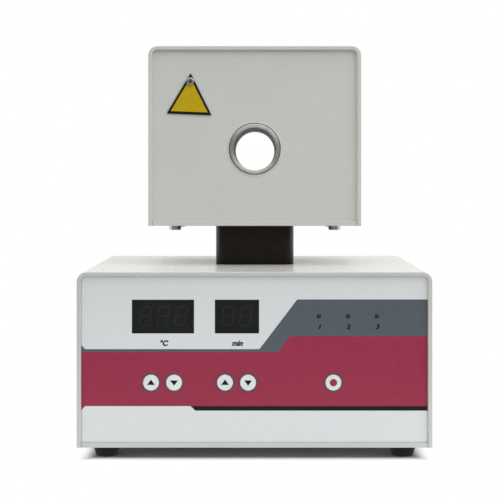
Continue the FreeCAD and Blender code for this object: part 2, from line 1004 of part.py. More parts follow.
def make_lamps():
    """Round lamps with a collar and two legs that stand on the control board."""
    tip = film_face + size.window_gap
    shoulder = tip + size.lamp_radius
    collar = shoulder + size.lamp_body
    collar_radius = size.lamp_radius + size.lamp_collar_width
    thick = size.lamp_leg_wall / 2
    lamps = []
    for x in lamp_places():
        dome = doc.addObject("Part::Sphere", "Dome")
        bind(dome, "Radius", size.lamp_radius)
        place(dome, x, shoulder, display_z)
        solids = [
            dome,
            rod("y", (x, display_z), shoulder, collar, size.lamp_radius),
            rod("y", (x, display_z), collar, collar + size.lamp_collar, collar_radius),
        ]
        for side in SIDES:
            leg = x + size.lamp_leg_spread * side
            low = display_z - thick
            high = display_z + thick
            solids.append(block(leg - thick, leg + thick, collar, board_face, low, high))
        lamps.append(fuse(solids))
    keep("indicator_lamps", group(lamps))


def make_key(name, x):
    """A round key: its cap fills the hole, its flange stays behind the plate."""
    face = film_face - size.key_proud
    flange = panel_back + size.key_gap
    stem = flange + size.key_flange_wall
    end = board_face - size.switch_height - size.actuator_height - size.key_travel - size.key_gap
    body = new_body()
    add(body, "y", face, stem, circle(x, key_z, size.key_radius))
    add(body, "y", flange, stem, circle(x, key_z, size.key_flange_radius))
    add(body, "y", flange, end, circle(x, key_z, size.key_stem_radius))
    fillet(body, size.key_edge, is_ring_at("y", face, size.key_radius))
    keep(name, body)


def make_key_switches():
    half = size.switch_side / 2
    top = board_face - size.switch_height
    switches = []
    for _, x in key_places():
        base = block(x - half, x + half, top, board_face, key_z - half, key_z + half)
        actuator = rod("y", (x, key_z), top - size.actuator_height, top, size.actuator_radius)
        switches.append(fuse([base, actuator]))
    keep("key_switches", group(switches))


# Boards and what stands on them


def make_control_board():
    low, high = control_board_ends()
    half = size.control_board_width / 2
    plate = rectangle(-half, low, half, high)
    clearance = size.small_screw_radius + size.hole_gap
    body = new_body()
    holes = holes_at(control_screw_places(), clearance)
    add(body, "y", board_face, board_back, plate, *holes)
    keep("control_board", body)
    spacers = [spacer("y", spot, panel_back, board_face) for spot in control_screw_places()]
    keep("control_board_spacers", group(spacers))


def spacer(axis, spot, start, end):
    """A six-sided spacer with a threaded hole in its far end."""
    column = hexagon(axis, spot, start, end, size.spacer_radius)
    hole_radius = size.small_screw_radius + size.thread_gap
    return cut(column, [rod(axis, spot, end - size.spacer_hole_depth, end, hole_radius)])


def make_microcontroller():
    """A chip in its socket on the back of the control board."""
    low, high = control_board_ends()
    z = (low + high) / 2
    half = size.chip_length / 2
    rise = size.chip_width / 2
    margin = size.chip_socket_margin
    seat = board_back + size.chip_wall
    top = seat + size.chip_wall
    socket = block(
        -half - margin, half + margin, board_back, seat, z - rise - margin / 2, z + rise + margin / 2
    )
    chip = block(-half, half, seat, top, z - rise, z + rise)
    notch = rod("y", (-half, z), top - size.chip_wall / 4, top, rise / 4)
    keep("microcontroller", cut(fuse([socket, chip]), [notch]))


def make_buzzer():
    spot = (size.buzzer_x, key_z)
    top = board_back + size.buzzer_height
    can = rod("y", spot, board_back, top, size.buzzer_radius)
    hole = rod("y", spot, top - size.buzzer_height / 3, top, size.buzzer_hole_radius)
    keep("buzzer", cut(can, [hole]))


def make_power_board():
    half = size.power_board_width / 2
    depth = size.power_board_depth / 2
    y = size.power_board_y
    plate = rectangle(-half, y - depth, half, y + depth)
    body = new_body()
    holes = holes_at(power_screw_places(), size.small_screw_radius + size.hole_gap)
    add(body, "z", power_board_z, power_board_top, plate, *holes)
    keep("power_board", body)
    spacers = []
    for spot in power_screw_places():
        stud = rod("z", spot, case_low, case_floor, size.small_screw_radius)
        spacers.append(fuse([spacer("z", spot, case_floor, power_board_z), stud]))
    keep("power_board_spacers", group(spacers))


def make_board_screws():
    """The screws of both boards are alike."""
    screw = pan_screw(
        size.small_head_radius,
        size.small_head_height,
        size.small_screw_radius,
        size.small_screw_length,
    )
    places = [(x, board_back, z, TURN_TO["y"]) for x, z in control_screw_places()]
    places += [(x, y, power_board_top, TURN_TO["z"]) for x, y in power_screw_places()]
    keep("board_screws", copies(screw, places))


def pan_screw(head_radius, head_height, radius, length):
    """A screw with a cross recess: its head stands on z = 0 and its shank hangs below."""
    head = rod("z", (0, 0), 0, head_height, head_radius)
    shank = rod("z", (0, 0), -length, 0, radius)
    arm = head_radius * 0.6
    half = head_radius * 0.14
    floor = head_height * 0.4
    slots = [
        block(-arm, arm, -half, half, floor, head_height),
        block(-half, half, -arm, arm, floor, head_height),
    ]
    return cut(fuse([head, shank]), slots)


def transformer_left():
    return -size.terminal_width / 2 - size.board_part_gap - size.transformer_width


def transformer_front():
    return size.power_board_y - size.transformer_depth / 2


def make_transformer():
    """An upright core beside the terminal block, with its winding through it."""
    left = transformer_left()
    right = left + size.transformer_width
    front = transformer_front()
    back = front + size.transformer_depth
    top = power_board_top + size.transformer_height
    coil = size.transformer_coil
    core = block(left, right, front, back, power_board_top, top)
    winding = block(
        left + coil,
        right - coil,
        front - coil,
        back + coil,
        power_board_top + coil,
        top - coil,
    )
    keep("transformer", fuse([core, winding]))


def make_capacitor():
    """A round can in front of the transformer, with a cross cut in its top."""
    radius = size.capacitor_radius
    x = transformer_left() + size.capacitor_inset_x + radius
    y = transformer_front() - size.transformer_coil - size.board_part_gap - radius
    top = power_board_top + size.capacitor_height
    floor = top - size.vent_cut_depth
    can = rod("z", (x, y), power_board_top, top, radius)
    half = size.vent_cut_length / 2
    thin = size.vent_cut_width / 2
    cross = [
        block(x - half, x + half, y - thin, y + thin, floor, top),
        block(x - thin, x + thin, y - half, y + half, floor, top),
    ]
    keep("filter_capacitor", cut(can, cross))


def make_heat_sink():
    """A finned plate that stands on the board, with the triac flat on its front."""
    left = size.terminal_width / 2 + size.board_part_gap
    right = left + size.heat_sink_width
    face = size.power_board_y - size.power_board_depth / 2 + size.heat_sink_inset_y
    wall = size.heat_sink_wall
    top = power_board_top + size.heat_sink_height
    body = new_body()
    add(body, "z", power_board_top, top, rectangle(left, face, right, face + wall))
    fins = []
    pitch = (size.heat_sink_width - size.fin_wall) / (FIN_COUNT - 1)
    for i in range(FIN_COUNT):
        x = left + pitch * i
        fins.append(rectangle(x, face + wall / 2, x + size.fin_wall, face + wall + size.fin_length))
    add(body, "z", power_board_top, top, *fins)
    keep("heat_sink", body)
    middle = (left + right) / 2
    half = size.triac_width / 2
    low = power_board_top + size.triac_rise
    high = low + size.triac_height
    case = block(middle - half, middle + half, face - size.triac_wall, face, low, high)
    leg_y = face - size.triac_wall / 2
    thick = size.triac_leg_width / 2
    solids = [case]
    for i in (-1, 0, 1):
        x = middle + size.triac_leg_pitch * i
        solids.append(block(x - thick, x + thick, leg_y - thick, leg_y + thick, power_board_top, low))
    keep("triac", fuse(solids))


FIN_COUNT = 6


def make_terminal_block():
    """The block on the power board, right under the post, that the leads come out of."""
    half = size.terminal_width / 2
    depth = size.terminal_depth / 2
    top = power_board_top + size.terminal_height
    body = new_body()
    face = rectangle(-half, heater_y - depth, half, heater_y + depth)
    add(body, "z", power_board_top, top, face)
    remove(body, "z", top - size.terminal_well_depth, top, *wells(-half + size.terminal_well_inset))
    keep("terminal_block", body)


def wells(x):
    """The screw holes of a terminal block, one beside each lead."""
    radius = size.terminal_well_radius
    return [circle(x, heater_y + size.lead_pitch * i, radius) for i in (-1, 0, 1)]


# Back of the control case


def socket_z():
    return inlet_z - size.socket_drop


def blade_places():
    """The three blades' x and z: two side by side and the earth above them."""
    return [
        (size.inlet_x - size.blade_spread, socket_z() - size.blade_offset),
        (size.inlet_x + size.blade_spread, socket_z() - size.blade_offset),
        (size.inlet_x, socket_z() + size.blade_offset),
    ]


def blade_rectangle(x, z, grow):
    half = size.blade_wall / 2 + grow
    rise = size.blade_height / 2 + grow
    return rectangle(x - half, z - rise, x + half, z + rise)


def inlet_box(z, half_width, half_height):
    x = size.inlet_x
    return rectangle(x - half_width, z - half_height, x + half_width, z + half_height)


def rocker_half_length():
    """Half of the rocker's cell, so that its corners clear the walls when it tilts."""
    return size.rocker_half_width + size.rocker_gap + size.rocker_swing


def make_rear_panel():
    x = size.inlet_x
    body_half = size.inlet_body_width / 2 + size.sheet_gap
    body_rise = size.inlet_body_height / 2 + size.sheet_gap
    holes = [inlet_box(inlet_z, body_half, body_rise)]
    screw = size.small_screw_radius + size.thread_gap
    holes += [circle(x + size.inlet_screw_x * side, inlet_z, screw) for side in SIDES]
    start = rear_face - size.panel_wall
    panel = make_panel("rear_panel", size.case_width, case_low, case_high, start, holes)
    vent_right = size.vent_left + size.vent_length
    low = case_low + size.vent_low
    high = low + size.vent_height
    vent = rectangle(size.vent_left, low, vent_right, high, size.vent_height * 0.45)
    slot = remove(panel, "y", start, rear_face, vent)
    repeat_upwards(panel, slot, size.vent_pitch * (VENT_COUNT - 1), VENT_COUNT)


VENT_COUNT = 8


def make_inlet():
    """The moulded inlet: socket below, fuse drawer above it and the rocker's cell on top."""
    x = size.inlet_x
    inner = rear_face - size.inlet_body_depth
    body = new_body()
    flange_half = size.inlet_flange_width / 2
    flange_rise = size.inlet_flange_height / 2
    flange = rectangle(
        x - flange_half,
        inlet_z - flange_rise,
        x + flange_half,
        inlet_z + flange_rise,
        size.inlet_corner,
    )
    add(body, "y", rear_face, inlet_face, flange)
    core = inlet_box(inlet_z, size.inlet_body_width / 2, size.inlet_body_height / 2)
    add(body, "y", inner, inlet_face, core)
    half = size.socket_width / 2
    rise = size.socket_height / 2
    corner = size.socket_corner
    z = socket_z()
    socket = outline(
        [
            (x - half, z - rise),
            (x + half, z - rise),
            (x + half, z + rise - corner),
            (x + half - corner, z + rise),
            (x - half + corner, z + rise),
            (x - half, z + rise - corner),
        ]
    )
    remove(body, "y", inlet_face - size.socket_depth, inlet_face, socket)
    slots = [blade_rectangle(bx, bz, size.running_gap) for bx, bz in blade_places()]
    remove(body, "y", inner, inlet_face - size.socket_depth, *slots)
    drawer_z = inlet_z + size.drawer_rise
    drawer = inlet_box(drawer_z, size.drawer_width / 2, size.drawer_height / 2)
    remove(body, "y", inlet_face - size.drawer_depth, inlet_face, drawer)
    cell_rise = size.rocker_height / 2 + size.rocker_gap
    rocker_z = inlet_z + size.rocker_rise
    cell = inlet_box(rocker_z, rocker_half_length(), cell_rise)
    remove(body, "y", inlet_face - size.rocker_cell_depth, inlet_face, cell)
    pivot_y = inlet_face - size.rocker_pivot_depth
    pin_reach = size.rocker_height / 2 + size.rocker_pin_length + size.rocker_gap
    pin = circle(x, pivot_y, size.rocker_pin_radius + size.running_gap)
    remove(body, "z", rocker_z - pin_reach, rocker_z + pin_reach, pin)
    screw = size.small_screw_radius + size.hole_gap
    screws = [circle(x + size.inlet_screw_x * side, inlet_z, screw) for side in SIDES]
    remove(body, "y", rear_face, inlet_face, *screws)
    keep("power_inlet", body)
    blades = new_body()
    tail = inner - size.blade_tail
    tip = inlet_face - size.blade_recess
    add(blades, "y", tail, tip, *[blade_rectangle(bx, bz, 0) for bx, bz in blade_places()])
    keep("inlet_blades", blades)
    fixing = pan_screw(
        size.small_head_radius,
        size.small_head_height,
        size.small_screw_radius,
        size.small_screw_length,
    )
    spots = [
        (x + size.inlet_screw_x * side, inlet_face, inlet_z, TURN_TO["y"]) for side in SIDES
    ]
    keep("inlet_screws", copies(fixing, spots))


def make_fuse_drawer():
    """A drawer with a trough across it, in which the glass fuse lies."""
    x = size.inlet_x
    z = inlet_z + size.drawer_rise
    half = size.drawer_width / 2 - size.drawer_gap
    rise = size.drawer_height / 2 - size.drawer_gap
    inner = inlet_face - size.drawer_depth + size.drawer_gap
    body = new_body()
    add(body, "y", inner, inlet_face, rectangle(x - half, z - rise, x + half, z + rise))
    grip_half = size.drawer_grip_width / 2
    grip_rise = size.drawer_grip_height / 2
    grip = rectangle(x - grip_half, z - grip_rise, x + grip_half, z + grip_rise)
    add(body, "y", inlet_face, inlet_face + size.drawer_grip, grip)
    trough_half = size.fuse_length / 2 + size.fuse_gap
    trough = size.fuse_radius + size.fuse_gap
    fuse_y = inner + size.drawer_wall + trough
    floor = z + rise - size.fuse_radius * 2 - size.fuse_gap
    well = rectangle(x - trough_half, fuse_y - trough, x + trough_half, fuse_y + trough)
    remove(body, "z", floor, z + rise, well)
    keep("fuse_drawer", body)
    centre = (fuse_y, floor + size.fuse_radius)
    glass = rod("x", centre, x - size.fuse_length / 2, x + size.fuse_length / 2, size.fuse_radius)
    keep("glass_fuse", glass)


def make_rocker():
    """A rocker with a shallow V on its face, tilted to off, on two pins along Z."""
    half = size.rocker_half_width
    low = size.rocker_pivot_depth + size.rocker_proud
    lift = half * math.tan(math.radians(size.rocker_tilt.value))
    body = new_body()
    face = outline(
        [
            (-half, -size.rocker_below_pivot),
            (half, -size.rocker_below_pivot),
            (half, low + lift),
            (0, low),
            (-half, low + lift),
        ]
    )
    rise = size.rocker_height / 2
    add(body, "z", -rise, rise, face)
    pin_reach = rise + size.rocker_pin_length
    add(body, "z", -pin_reach, pin_reach, circle(0, 0, size.rocker_pin_radius))
    tilt = FreeCAD.Rotation(FreeCAD.Vector(0, 0, 1), size.rocker_tilt.value)
    pivot_y = inlet_face - size.rocker_pivot_depth
    place(body, size.inlet_x, pivot_y, inlet_z + size.rocker_rise, tilt)
    keep("power_rocker", body)


# Feet, brackets and screws of the boxes


def make_feet():
    """Rubber feet, each with a recess from below for its screw."""
    foot = cut(
        cone("z", (0, 0), 0, size.foot_height, size.foot_base_radius, size.foot_top_radius),
        [
            rod("z", (0, 0), 0, size.foot_recess_depth, size.foot_recess_radius),
            rod("z", (0, 0), 0, size.foot_height, size.medium_screw_radius + size.hole_gap),
        ],
    )
    places = [(x, y, 0, TURN_TO["z"]) for x, y in foot_places()]
    keep("rubber_feet", copies(foot, places))
    screw = pan_screw(
        size.medium_head_radius,
        size.medium_head_height,
        size.medium_screw_radius,
        size.medium_screw_length,
    )
    places = [(x, y, size.foot_recess_depth, TURN_TO["-z"]) for x, y in foot_places()]
    keep("foot_screws", copies(screw, places))
    return screw


def make_cover_screws():
    """Sunk screws that hold both covers to their trays; their heads lie flush."""
    neck = size.small_screw_radius
    head = cone(
        "z", (0, 0), -size.sunk_head_depth, 0, neck, size.small_head_radius - size.thread_gap
    )
    shank = rod("z", (0, 0), -size.small_screw_length, 0, neck)
    arm = size.small_head_radius * 0.55
    half = size.small_head_radius * 0.13
    floor = -size.sunk_head_depth * 0.7
    slots = [block(-arm, arm, -half, half, floor, 0), block(-half, half, -arm, arm, floor, 0)]
    screw = cut(fuse([head, shank]), slots)
    places = []
    boxes = [
        (size.case_width, case_low, case_front, case_back),
        (size.heater_width, heater_low, heater_front, heater_back),
    ]
    for width, low, front, back in boxes:
        for y in cover_screw_places(front, back):
            z = low + size.cover_screw_height
            places.append((width / 2, y, z, TURN_TO["x"]))
            places.append((-width / 2, y, z, TURN_TO["-x"]))
    keep("cover_screws", copies(screw, places))


def make_brackets():
    """Angle brackets that stand on the trays and back up all four panels."""
    half = size.bracket_width / 2
    wall = size.bracket_wall
    foot = block(-half, half, 0, size.bracket_depth, 0, wall)
    upright = block(-half, half, 0, wall, 0, size.bracket_height)
    bracket = fuse([foot, upright])
    wall_back = size.panel_recess + size.panel_wall
    half_turn = FreeCAD.Rotation(FreeCAD.Vector(0, 0, 1), 180)
    places = []
    boxes = [
        (case_floor, case_front, case_back, size.case_bracket_x),
        (heater_floor, heater_front, heater_back, size.heater_bracket_x),
    ]
    for floor, front, back, reach in boxes:
        for side in SIDES:
            places.append((reach * side, front + wall_back, floor, TURN_TO["z"]))
            places.append((reach * side, back - wall_back, floor, half_turn))
    keep("panel_brackets", copies(bracket, places))


# Post


def make_post(screw):
    body = new_body()
    side = size.post_width / 2
    front = heater_y - size.post_depth / 2
    back = heater_y + size.post_depth / 2
    outer = rectangle(-side, front, side, back, size.post_corner)
    bore = circle(0, heater_y, size.post_bore_radius)
    add(body, "z", case_high, heater_low, outer, bore)
    radius = size.medium_screw_radius + size.thread_gap
    depth = size.medium_screw_length
    remove(body, "z", case_high, case_high + depth, *holes_at(post_screw_places(), radius))
    remove(body, "z", heater_low - depth, heater_low, *holes_at(post_screw_places(), radius))
    keep("post", body)
    half = size.post_plate_side / 2
    under = case_high - size.sheet_wall
    plate = new_body()
    face = rectangle(-half, heater_y - half, half, heater_y + half, size.post_plate_corner)
    wire_hole = circle(0, heater_y, size.post_bore_radius)
    clearance = size.medium_screw_radius + size.hole_gap
    holes = holes_at(post_screw_places(), clearance)
    add(plate, "z", under - size.post_plate_wall, under, face, wire_hole, *holes)
    keep("post_plate", plate)
    head_seat = under - size.post_plate_wall
    places = [(x, y, head_seat, TURN_TO["-z"]) for x, y in post_screw_places()]
    places += [(x, y, heater_floor, TURN_TO["z"]) for x, y in post_screw_places()]
    keep("post_screws", copies(screw, places))


# Tube, its cradles and its heater


def ring(radius, inner, start, end):
    """A pad's two circles round the tube's axis and its ends."""
    return start, end, circle(0, bore_z, radius), circle(0, bore_z, inner)


def tube_front():
    return heater_front + size.panel_recess - size.tube_proud


def tube_back():
    return heater_back - size.panel_recess + size.tube_proud


def cradle_faces():
    """The outer faces of the two cradle plates."""
    reach = size.heater_depth / 2 - size.bolt_inset_y + size.cradle_foot_depth / 2
    return heater_y - reach, heater_y + reach


def ring_starts():
    front, back = cradle_faces()
    return front - size.ring_wall - size.running_gap, back + size.running_gap


def make_tube():
    body = new_body()
    add(body, "y", *ring(tube_radius, size.bore_radius, tube_front(), tube_back()))
    groove = tube_radius - size.ring_groove
    for start in ring_starts():
        low = start - size.running_gap
        high = start + size.ring_wall + size.running_gap
        remove(body, "y", *ring(tube_radius + size.tube_wall, groove, low, high))
    for end in (tube_front(), tube_back()):
        chamfer(body, size.mouth_chamfer, is_ring_at("y", end, size.bore_radius))
    keep("heating_tube", body)
    rings = []
    for start in ring_starts():
        outer = rod("y", (0, bore_z), start, start + size.ring_wall, size.ring_radius)
        inner_radius = groove + size.running_gap
        inner = rod("y", (0, bore_z), start, start + size.ring_wall, inner_radius)
        half = size.ring_opening / 2
        gap = block(-half, half, start, start + size.ring_wall, bore_z - size.ring_radius, bore_z)
        rings.append(cut(outer, [inner, gap]))
    keep("tube_rings", group(rings))


def make_cradles():
    """Two bent plates that carry the tube; their feet are bolted to the tray."""
    reach_x = size.heater_width / 2 - size.bolt_inset_x + size.cradle_foot_width / 2
    shoulder = size.cradle_shoulder
    side_top = heater_floor + size.cradle_side_height
    plates = []
    for outer, side in zip(cradle_faces(), SIDES):
        inner = outer - size.cradle_wall * side
        start, end = (outer, inner) if side < 0 else (inner, outer)
        face = outline(
            [
                (-reach_x, heater_floor),
                (reach_x, heater_floor),
                (reach_x, side_top),
                (shoulder, bore_z + shoulder, size.cradle_corner),
                (-shoulder, bore_z + shoulder, size.cradle_corner),
                (-reach_x, side_top),
            ]
        )
        body = new_body()
        hole = circle(0, bore_z, tube_radius + size.running_gap)
        add(body, "y", start, end, face, hole)
        tip = outer - size.cradle_foot_depth * side
        near, far = (outer, tip) if side < 0 else (tip, outer)
        feet = []
        for hand in SIDES:
            a = reach_x * hand
            b = (reach_x - size.cradle_foot_width) * hand
            left, right = (a, b) if hand < 0 else (b, a)
            feet.append(rectangle(left, near, right, far))
        add(body, "z", heater_floor, heater_floor + size.cradle_wall, *feet)
        bolts = [(x, y) for x, y in bolt_places() if (y.value - heater_y.value) * side > 0]
        holes = holes_at(bolts, size.bolt_radius + size.hole_gap)
        remove(body, "z", heater_floor, heater_floor + size.cradle_wall, *holes)
        plates.append(body)
    keep("tube_cradles", group(plates))


def make_bolts():
    top = heater_floor + size.cradle_wall
    bolts = []
    nuts = []
    for spot in bolt_places():
        head = hexagon("z", spot, heater_low - size.bolt_head_height, heater_low, size.bolt_head_radius)
        end = top + size.nut_height + size.bolt_end
        shank = rod("z", spot, heater_low, end, size.bolt_radius)
        bolts.append(fuse([head, shank]))
        nut = hexagon("z", spot, top, top + size.nut_height, size.bolt_head_radius)
        hole_radius = size.bolt_radius + size.thread_gap
        hole = rod("z", spot, top, top + size.nut_height, hole_radius)
        nuts.append(cut(nut, [hole]))
    keep("heater_bolts", group(bolts))
    keep("heater_nuts", group(nuts))


def band_radius():
    return tube_radius + size.running_gap + size.band_wall


def tab_end():
    return band_radius() + size.tab_length


def make_band_heater():
    """A split band round the tube with one clamp screw and a tab for its two leads."""
    start = heater_y - size.band_length / 2
    end = heater_y + size.band_length / 2
    body = new_body()
    inner = tube_radius + size.running_gap
    add(body, "y", start, end, circle(0, bore_z, band_radius()))
    slit = size.band_slit / 2
    ear_end = band_radius() + size.band_ear_length
    ear = slit + size.band_ear_wall
    ears = [
        rectangle(0, bore_z - ear, ear_end, bore_z - slit),
        rectangle(0, bore_z + slit, ear_end, bore_z + ear),
    ]
    ear_half = size.band_ear_depth / 2
    add(body, "y", heater_y - ear_half, heater_y + ear_half, *ears)
    tab_z = bore_z - size.tab_drop
    tab_rise = size.tab_height / 2
    tab_half = size.tab_depth / 2
    tab = rectangle(0, tab_z - tab_rise, tab_end(), tab_z + tab_rise)
    add(body, "y", heater_y - tab_half, heater_y + tab_half, tab)
    remove(body, "y", start, end, circle(0, bore_z, inner))
    remove(body, "y", start, end, rectangle(0, bore_z - slit, ear_end, bore_z + slit))
    screw_x = ear_end - size.band_ear_length / 2
    hole_radius = size.small_screw_radius + size.thread_gap
    remove(body, "z", bore_z - ear, bore_z + ear, circle(screw_x, heater_y, hole_radius))
    keep("band_heater", body)
    screw = pan_screw(
        size.small_head_radius,
        size.small_head_height,
        size.small_screw_radius,
        ear * 2 + size.small_screw_radius,
    )
    keep("band_screw", copies(screw, [(screw_x, heater_y, bore_z + ear, TURN_TO["z"])]))


def probe_y():
    return heater_y + size.probe_offset


def probe_top():
    return bore_z - tube_radius - size.running_gap


def make_insulation():
    """A fibre sleeve round the band, open on the right for the ears and leads."""
    start = heater_y - size.insulation_length / 2
    end = heater_y + size.insulation_length / 2
    body = new_body()
    inner = band_radius() + size.soft_gap
    add(body, "y", *ring(size.insulation_radius, inner, start, end))
    half = size.insulation_slot / 2
    slot = rectangle(0, bore_z - half, size.insulation_radius, bore_z + half)
    remove(body, "y", start, end, slot)
    hole = circle(0, probe_y(), size.probe_radius + size.soft_gap)
    remove(body, "z", bore_z - size.insulation_radius, bore_z, hole)
    keep("insulation_sleeve", body)


def make_thermocouple():
    top = probe_top()
    low = top - size.probe_length
    probe = rod("z", (0, probe_y()), low, top, size.probe_radius)
    keep("thermocouple", probe)


# Ceramic block and leads


def make_ceramic_block():
    """The heat-proof block in the heater box that joins the leads to the band."""
    depth = size.block_depth / 2
    right = size.block_x + size.block_width
    top = heater_floor + size.block_height
    body = new_body()
    face = rectangle(size.block_x, heater_y - depth, right, heater_y + depth)
    add(body, "z", heater_floor, top, face)
    remove(body, "z", top - size.terminal_well_depth, top, *wells(right - size.terminal_well_inset))
    keep("ceramic_block", body)


def make_lead(x, y, low, route):
    """A lead in a plane y = constant that starts upwards at x, y and low."""
    body = new_body()
    profile = new_sketch(body, "z", low, circle(x, y, size.lead_radius))
    spine = new_sketch(body, "y", y, outline(route, closed=False))
    return pipe(body, profile, spine)


def pipe(body, profile, spine):
    feature = body.newObject("PartDesign::AdditivePipe", "Pipe")
    feature.Profile = profile
    drawn = [i for i in range(spine.GeometryCount) if not spine.getConstruction(i)]
    feature.Spine = (spine, [f"Edge{i}" for i in range(1, len(drawn) + 1)])
    return body


def make_leads():
    """Three leads from the board's block up through the post, and two on to the band."""
    low = power_board_top + size.terminal_height
    turn_z = heater_floor + size.lead_height
    ceramic_top = heater_floor + size.block_height
    tab_z = bore_z - size.tab_drop
    bend = size.lead_bend
    leads = []
    for i in (-1, 0, 1):
        y = heater_y + size.lead_pitch * i
        route = [(size.lead_x, low), (size.lead_x, turn_z, bend), (size.block_x, turn_z)]
        leads.append(make_lead(size.lead_x, y, low, route))
    x = size.block_x + size.band_lead_inset
    for i in SIDES:
        y = heater_y + size.band_lead_spread * i
        route = [(x, ceramic_top), (x, tab_z, bend), (tab_end(), tab_z)]
        leads.append(make_lead(x, y, ceramic_top, route))
    keep("heater_leads", group(leads))


def make_sensor_lead():
    """The thin lead from the board's block to the probe, with two bends at the tray."""
    low = power_board_top + size.terminal_height
    start_y = heater_y + size.terminal_depth / 2 - size.sensor_lead_inset
    turn_z = heater_floor + size.lead_height
    end_z = probe_top() - size.probe_length
    body = new_body()
    profile = new_sketch(body, "z", low, circle(0, start_y, size.sensor_lead_radius))
    bend = size.sensor_lead_bend
    route = [(start_y, low), (start_y, turn_z, bend), (probe_y(), turn_z, bend), (probe_y(), end_z)]
    spine = new_sketch(body, "x", 0, outline(route, closed=False))
    pipe(body, profile, spine)
    keep("sensor_lead", body)


# Triangular plate on the front of the heater box


def make_triangle_plate():
    """A thin triangular plate, hung a little askew on its one screw near the top corner."""
    half = size.plate_width / 2
    hole = plate_screw_hole()
    rise = size.plate_screw_rise
    radius = size.plate_corner
    body = new_body()
    triangle = outline(
        [
            (-half, -rise, radius),
            (half, -rise, radius),
            (0, size.plate_height - rise, radius),
        ]
    )
    add(body, "y", -size.plate_wall, 0, triangle, circle(0, 0, hole))
    turn = FreeCAD.Rotation(FreeCAD.Vector(0, 1, 0), -size.plate_turn.value)
    face = heater_front + size.panel_recess
    screw_z = heater_low + size.plate_base_height + rise
    place(body, size.plate_x, face, screw_z, turn)
    keep("triangle_plate", body)
    screw = pan_screw(
        size.small_head_radius,
        size.small_head_height,
        size.small_screw_radius,
        size.small_screw_length,
    )
    spot = (size.plate_x, face - size.plate_wall, screw_z, TURN_TO["-y"])
    keep("plate_screw", copies(screw, [spot]))


def main():
    make_case_sheets()
    make_front()
    for name, x, width, digits in windows():
        make_window(name, x, width)
        make_display(name, x, digits)
    make_digits()
    make_lamps()
    for name, x in key_places():
        make_key(name, x)
    make_key_switches()
    make_control_board()
    make_microcontroller()
    make_buzzer()
    make_power_board()
    make_board_screws()
    make_transformer()
    make_capacitor()
    make_heat_sink()
    make_terminal_block()
    make_rear_panel()
    make_inlet()
    make_fuse_drawer()
    make_rocker()
    medium_screw = make_feet()
    make_cover_screws()
    make_brackets()
    make_post(medium_screw)
    make_heater_sheets()
    make_tube()
    make_cradles()
    make_bolts()
    make_band_heater()
    make_insulation()
    make_thermocouple()
    make_ceramic_block()
    make_leads()
    make_sensor_lead()
    make_triangle_plate()


def check():
    """Stops with a plain message if any object failed or any sub-part is not sound."""
    doc.recompute()
    faults = []
    for thing in doc.Objects:
        if {"Invalid", "Error"} & set(thing.State):
            faults.append(f"{thing.Label} ({thing.Name}): {thing.State}")
        if thing.TypeId == "Sketcher::SketchObject" and not thing.FullyConstrained:
            faults.append(f"{thing.Label} is not fully constrained")
    for thing in pieces:
        if thing.Shape.isNull() or not thing.Shape.isValid() or not thing.Shape.Solids:
            faults.append(f"{thing.Label} has no sound solid")
    if faults:
        raise SystemExit("\n".join(faults))


def write():
    os.makedirs("parts", exist_ok=True)
    for thing in pieces:
        thing.Shape.exportStep(f"parts/{thing.Label}.step")
    solids = sum(len(thing.Shape.Solids) for thing in pieces)
    print(f"{len(pieces)} sub-parts with {solids} solids written")


main()
check()
write()
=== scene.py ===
# %% [markdown]
# # Dressing a denture injection heater in Blender
#
# The real object is a bench instrument of a dental workshop: a flat steel case with a printed
# front, a short dark post, and a steel box with an open heated tube through it.
# The CAD model already has every part at its true size, so nothing here moves or resizes one.
# What is left for Blender is what CAD leaves out: eased sheet edges, printing, paint, metal and light.
# This first cell loads the CAD parts and their record as a frame.

# %% Load the CAD frame
import json
import math

import bmesh
import bpy
from mathutils import Matrix, Vector


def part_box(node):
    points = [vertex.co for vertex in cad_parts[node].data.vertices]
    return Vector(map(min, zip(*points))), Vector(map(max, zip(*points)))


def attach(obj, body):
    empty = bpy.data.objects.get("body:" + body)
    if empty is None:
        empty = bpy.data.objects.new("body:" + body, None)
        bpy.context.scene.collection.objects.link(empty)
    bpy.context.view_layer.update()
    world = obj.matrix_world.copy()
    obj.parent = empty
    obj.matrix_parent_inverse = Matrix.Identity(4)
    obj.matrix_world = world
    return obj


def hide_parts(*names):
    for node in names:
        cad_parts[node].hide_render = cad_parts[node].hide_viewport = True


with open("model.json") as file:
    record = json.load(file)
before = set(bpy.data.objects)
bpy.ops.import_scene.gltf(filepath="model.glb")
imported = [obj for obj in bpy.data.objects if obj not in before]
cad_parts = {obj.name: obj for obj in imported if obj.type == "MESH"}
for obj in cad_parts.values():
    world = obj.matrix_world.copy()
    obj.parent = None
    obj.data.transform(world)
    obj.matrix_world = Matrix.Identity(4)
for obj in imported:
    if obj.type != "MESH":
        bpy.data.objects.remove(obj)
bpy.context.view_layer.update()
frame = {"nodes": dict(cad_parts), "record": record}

MM = 0.001

# %% [markdown]
# ## Colours
#
# A picture editor shows colours as screen values from 0 to 255, but a shader wants linear light.
# One could pick linear numbers by trial. Turning screen values over by the sRGB curve is surer,
# because a paint chip or a photograph can then be matched by eye with three plain numbers.


# %% Turn screen colours into linear ones
def screen(red, green, blue):
    """A colour in screen values from 0 to 255 as the linear colour that a shader takes."""

    def linear(value):
        value = value / 255
        return value / 12.92 if value <= 0.04045 else ((value + 0.055) / 1.055) ** 2.4

    return (linear(red), linear(green), linear(blue), 1.0)


def scaled(colour, factor, lift=0.0):
    """A linear colour made darker or lighter by a factor, and then lifted by an amount."""
    return tuple(min(1.0, n * factor + lift) for n in colour[:3]) + (1.0,)


WHITE = (1.0, 1.0, 1.0, 1.0)
print("Mid grey on screen is", round(screen(128, 128, 128)[0], 3), "in linear light")

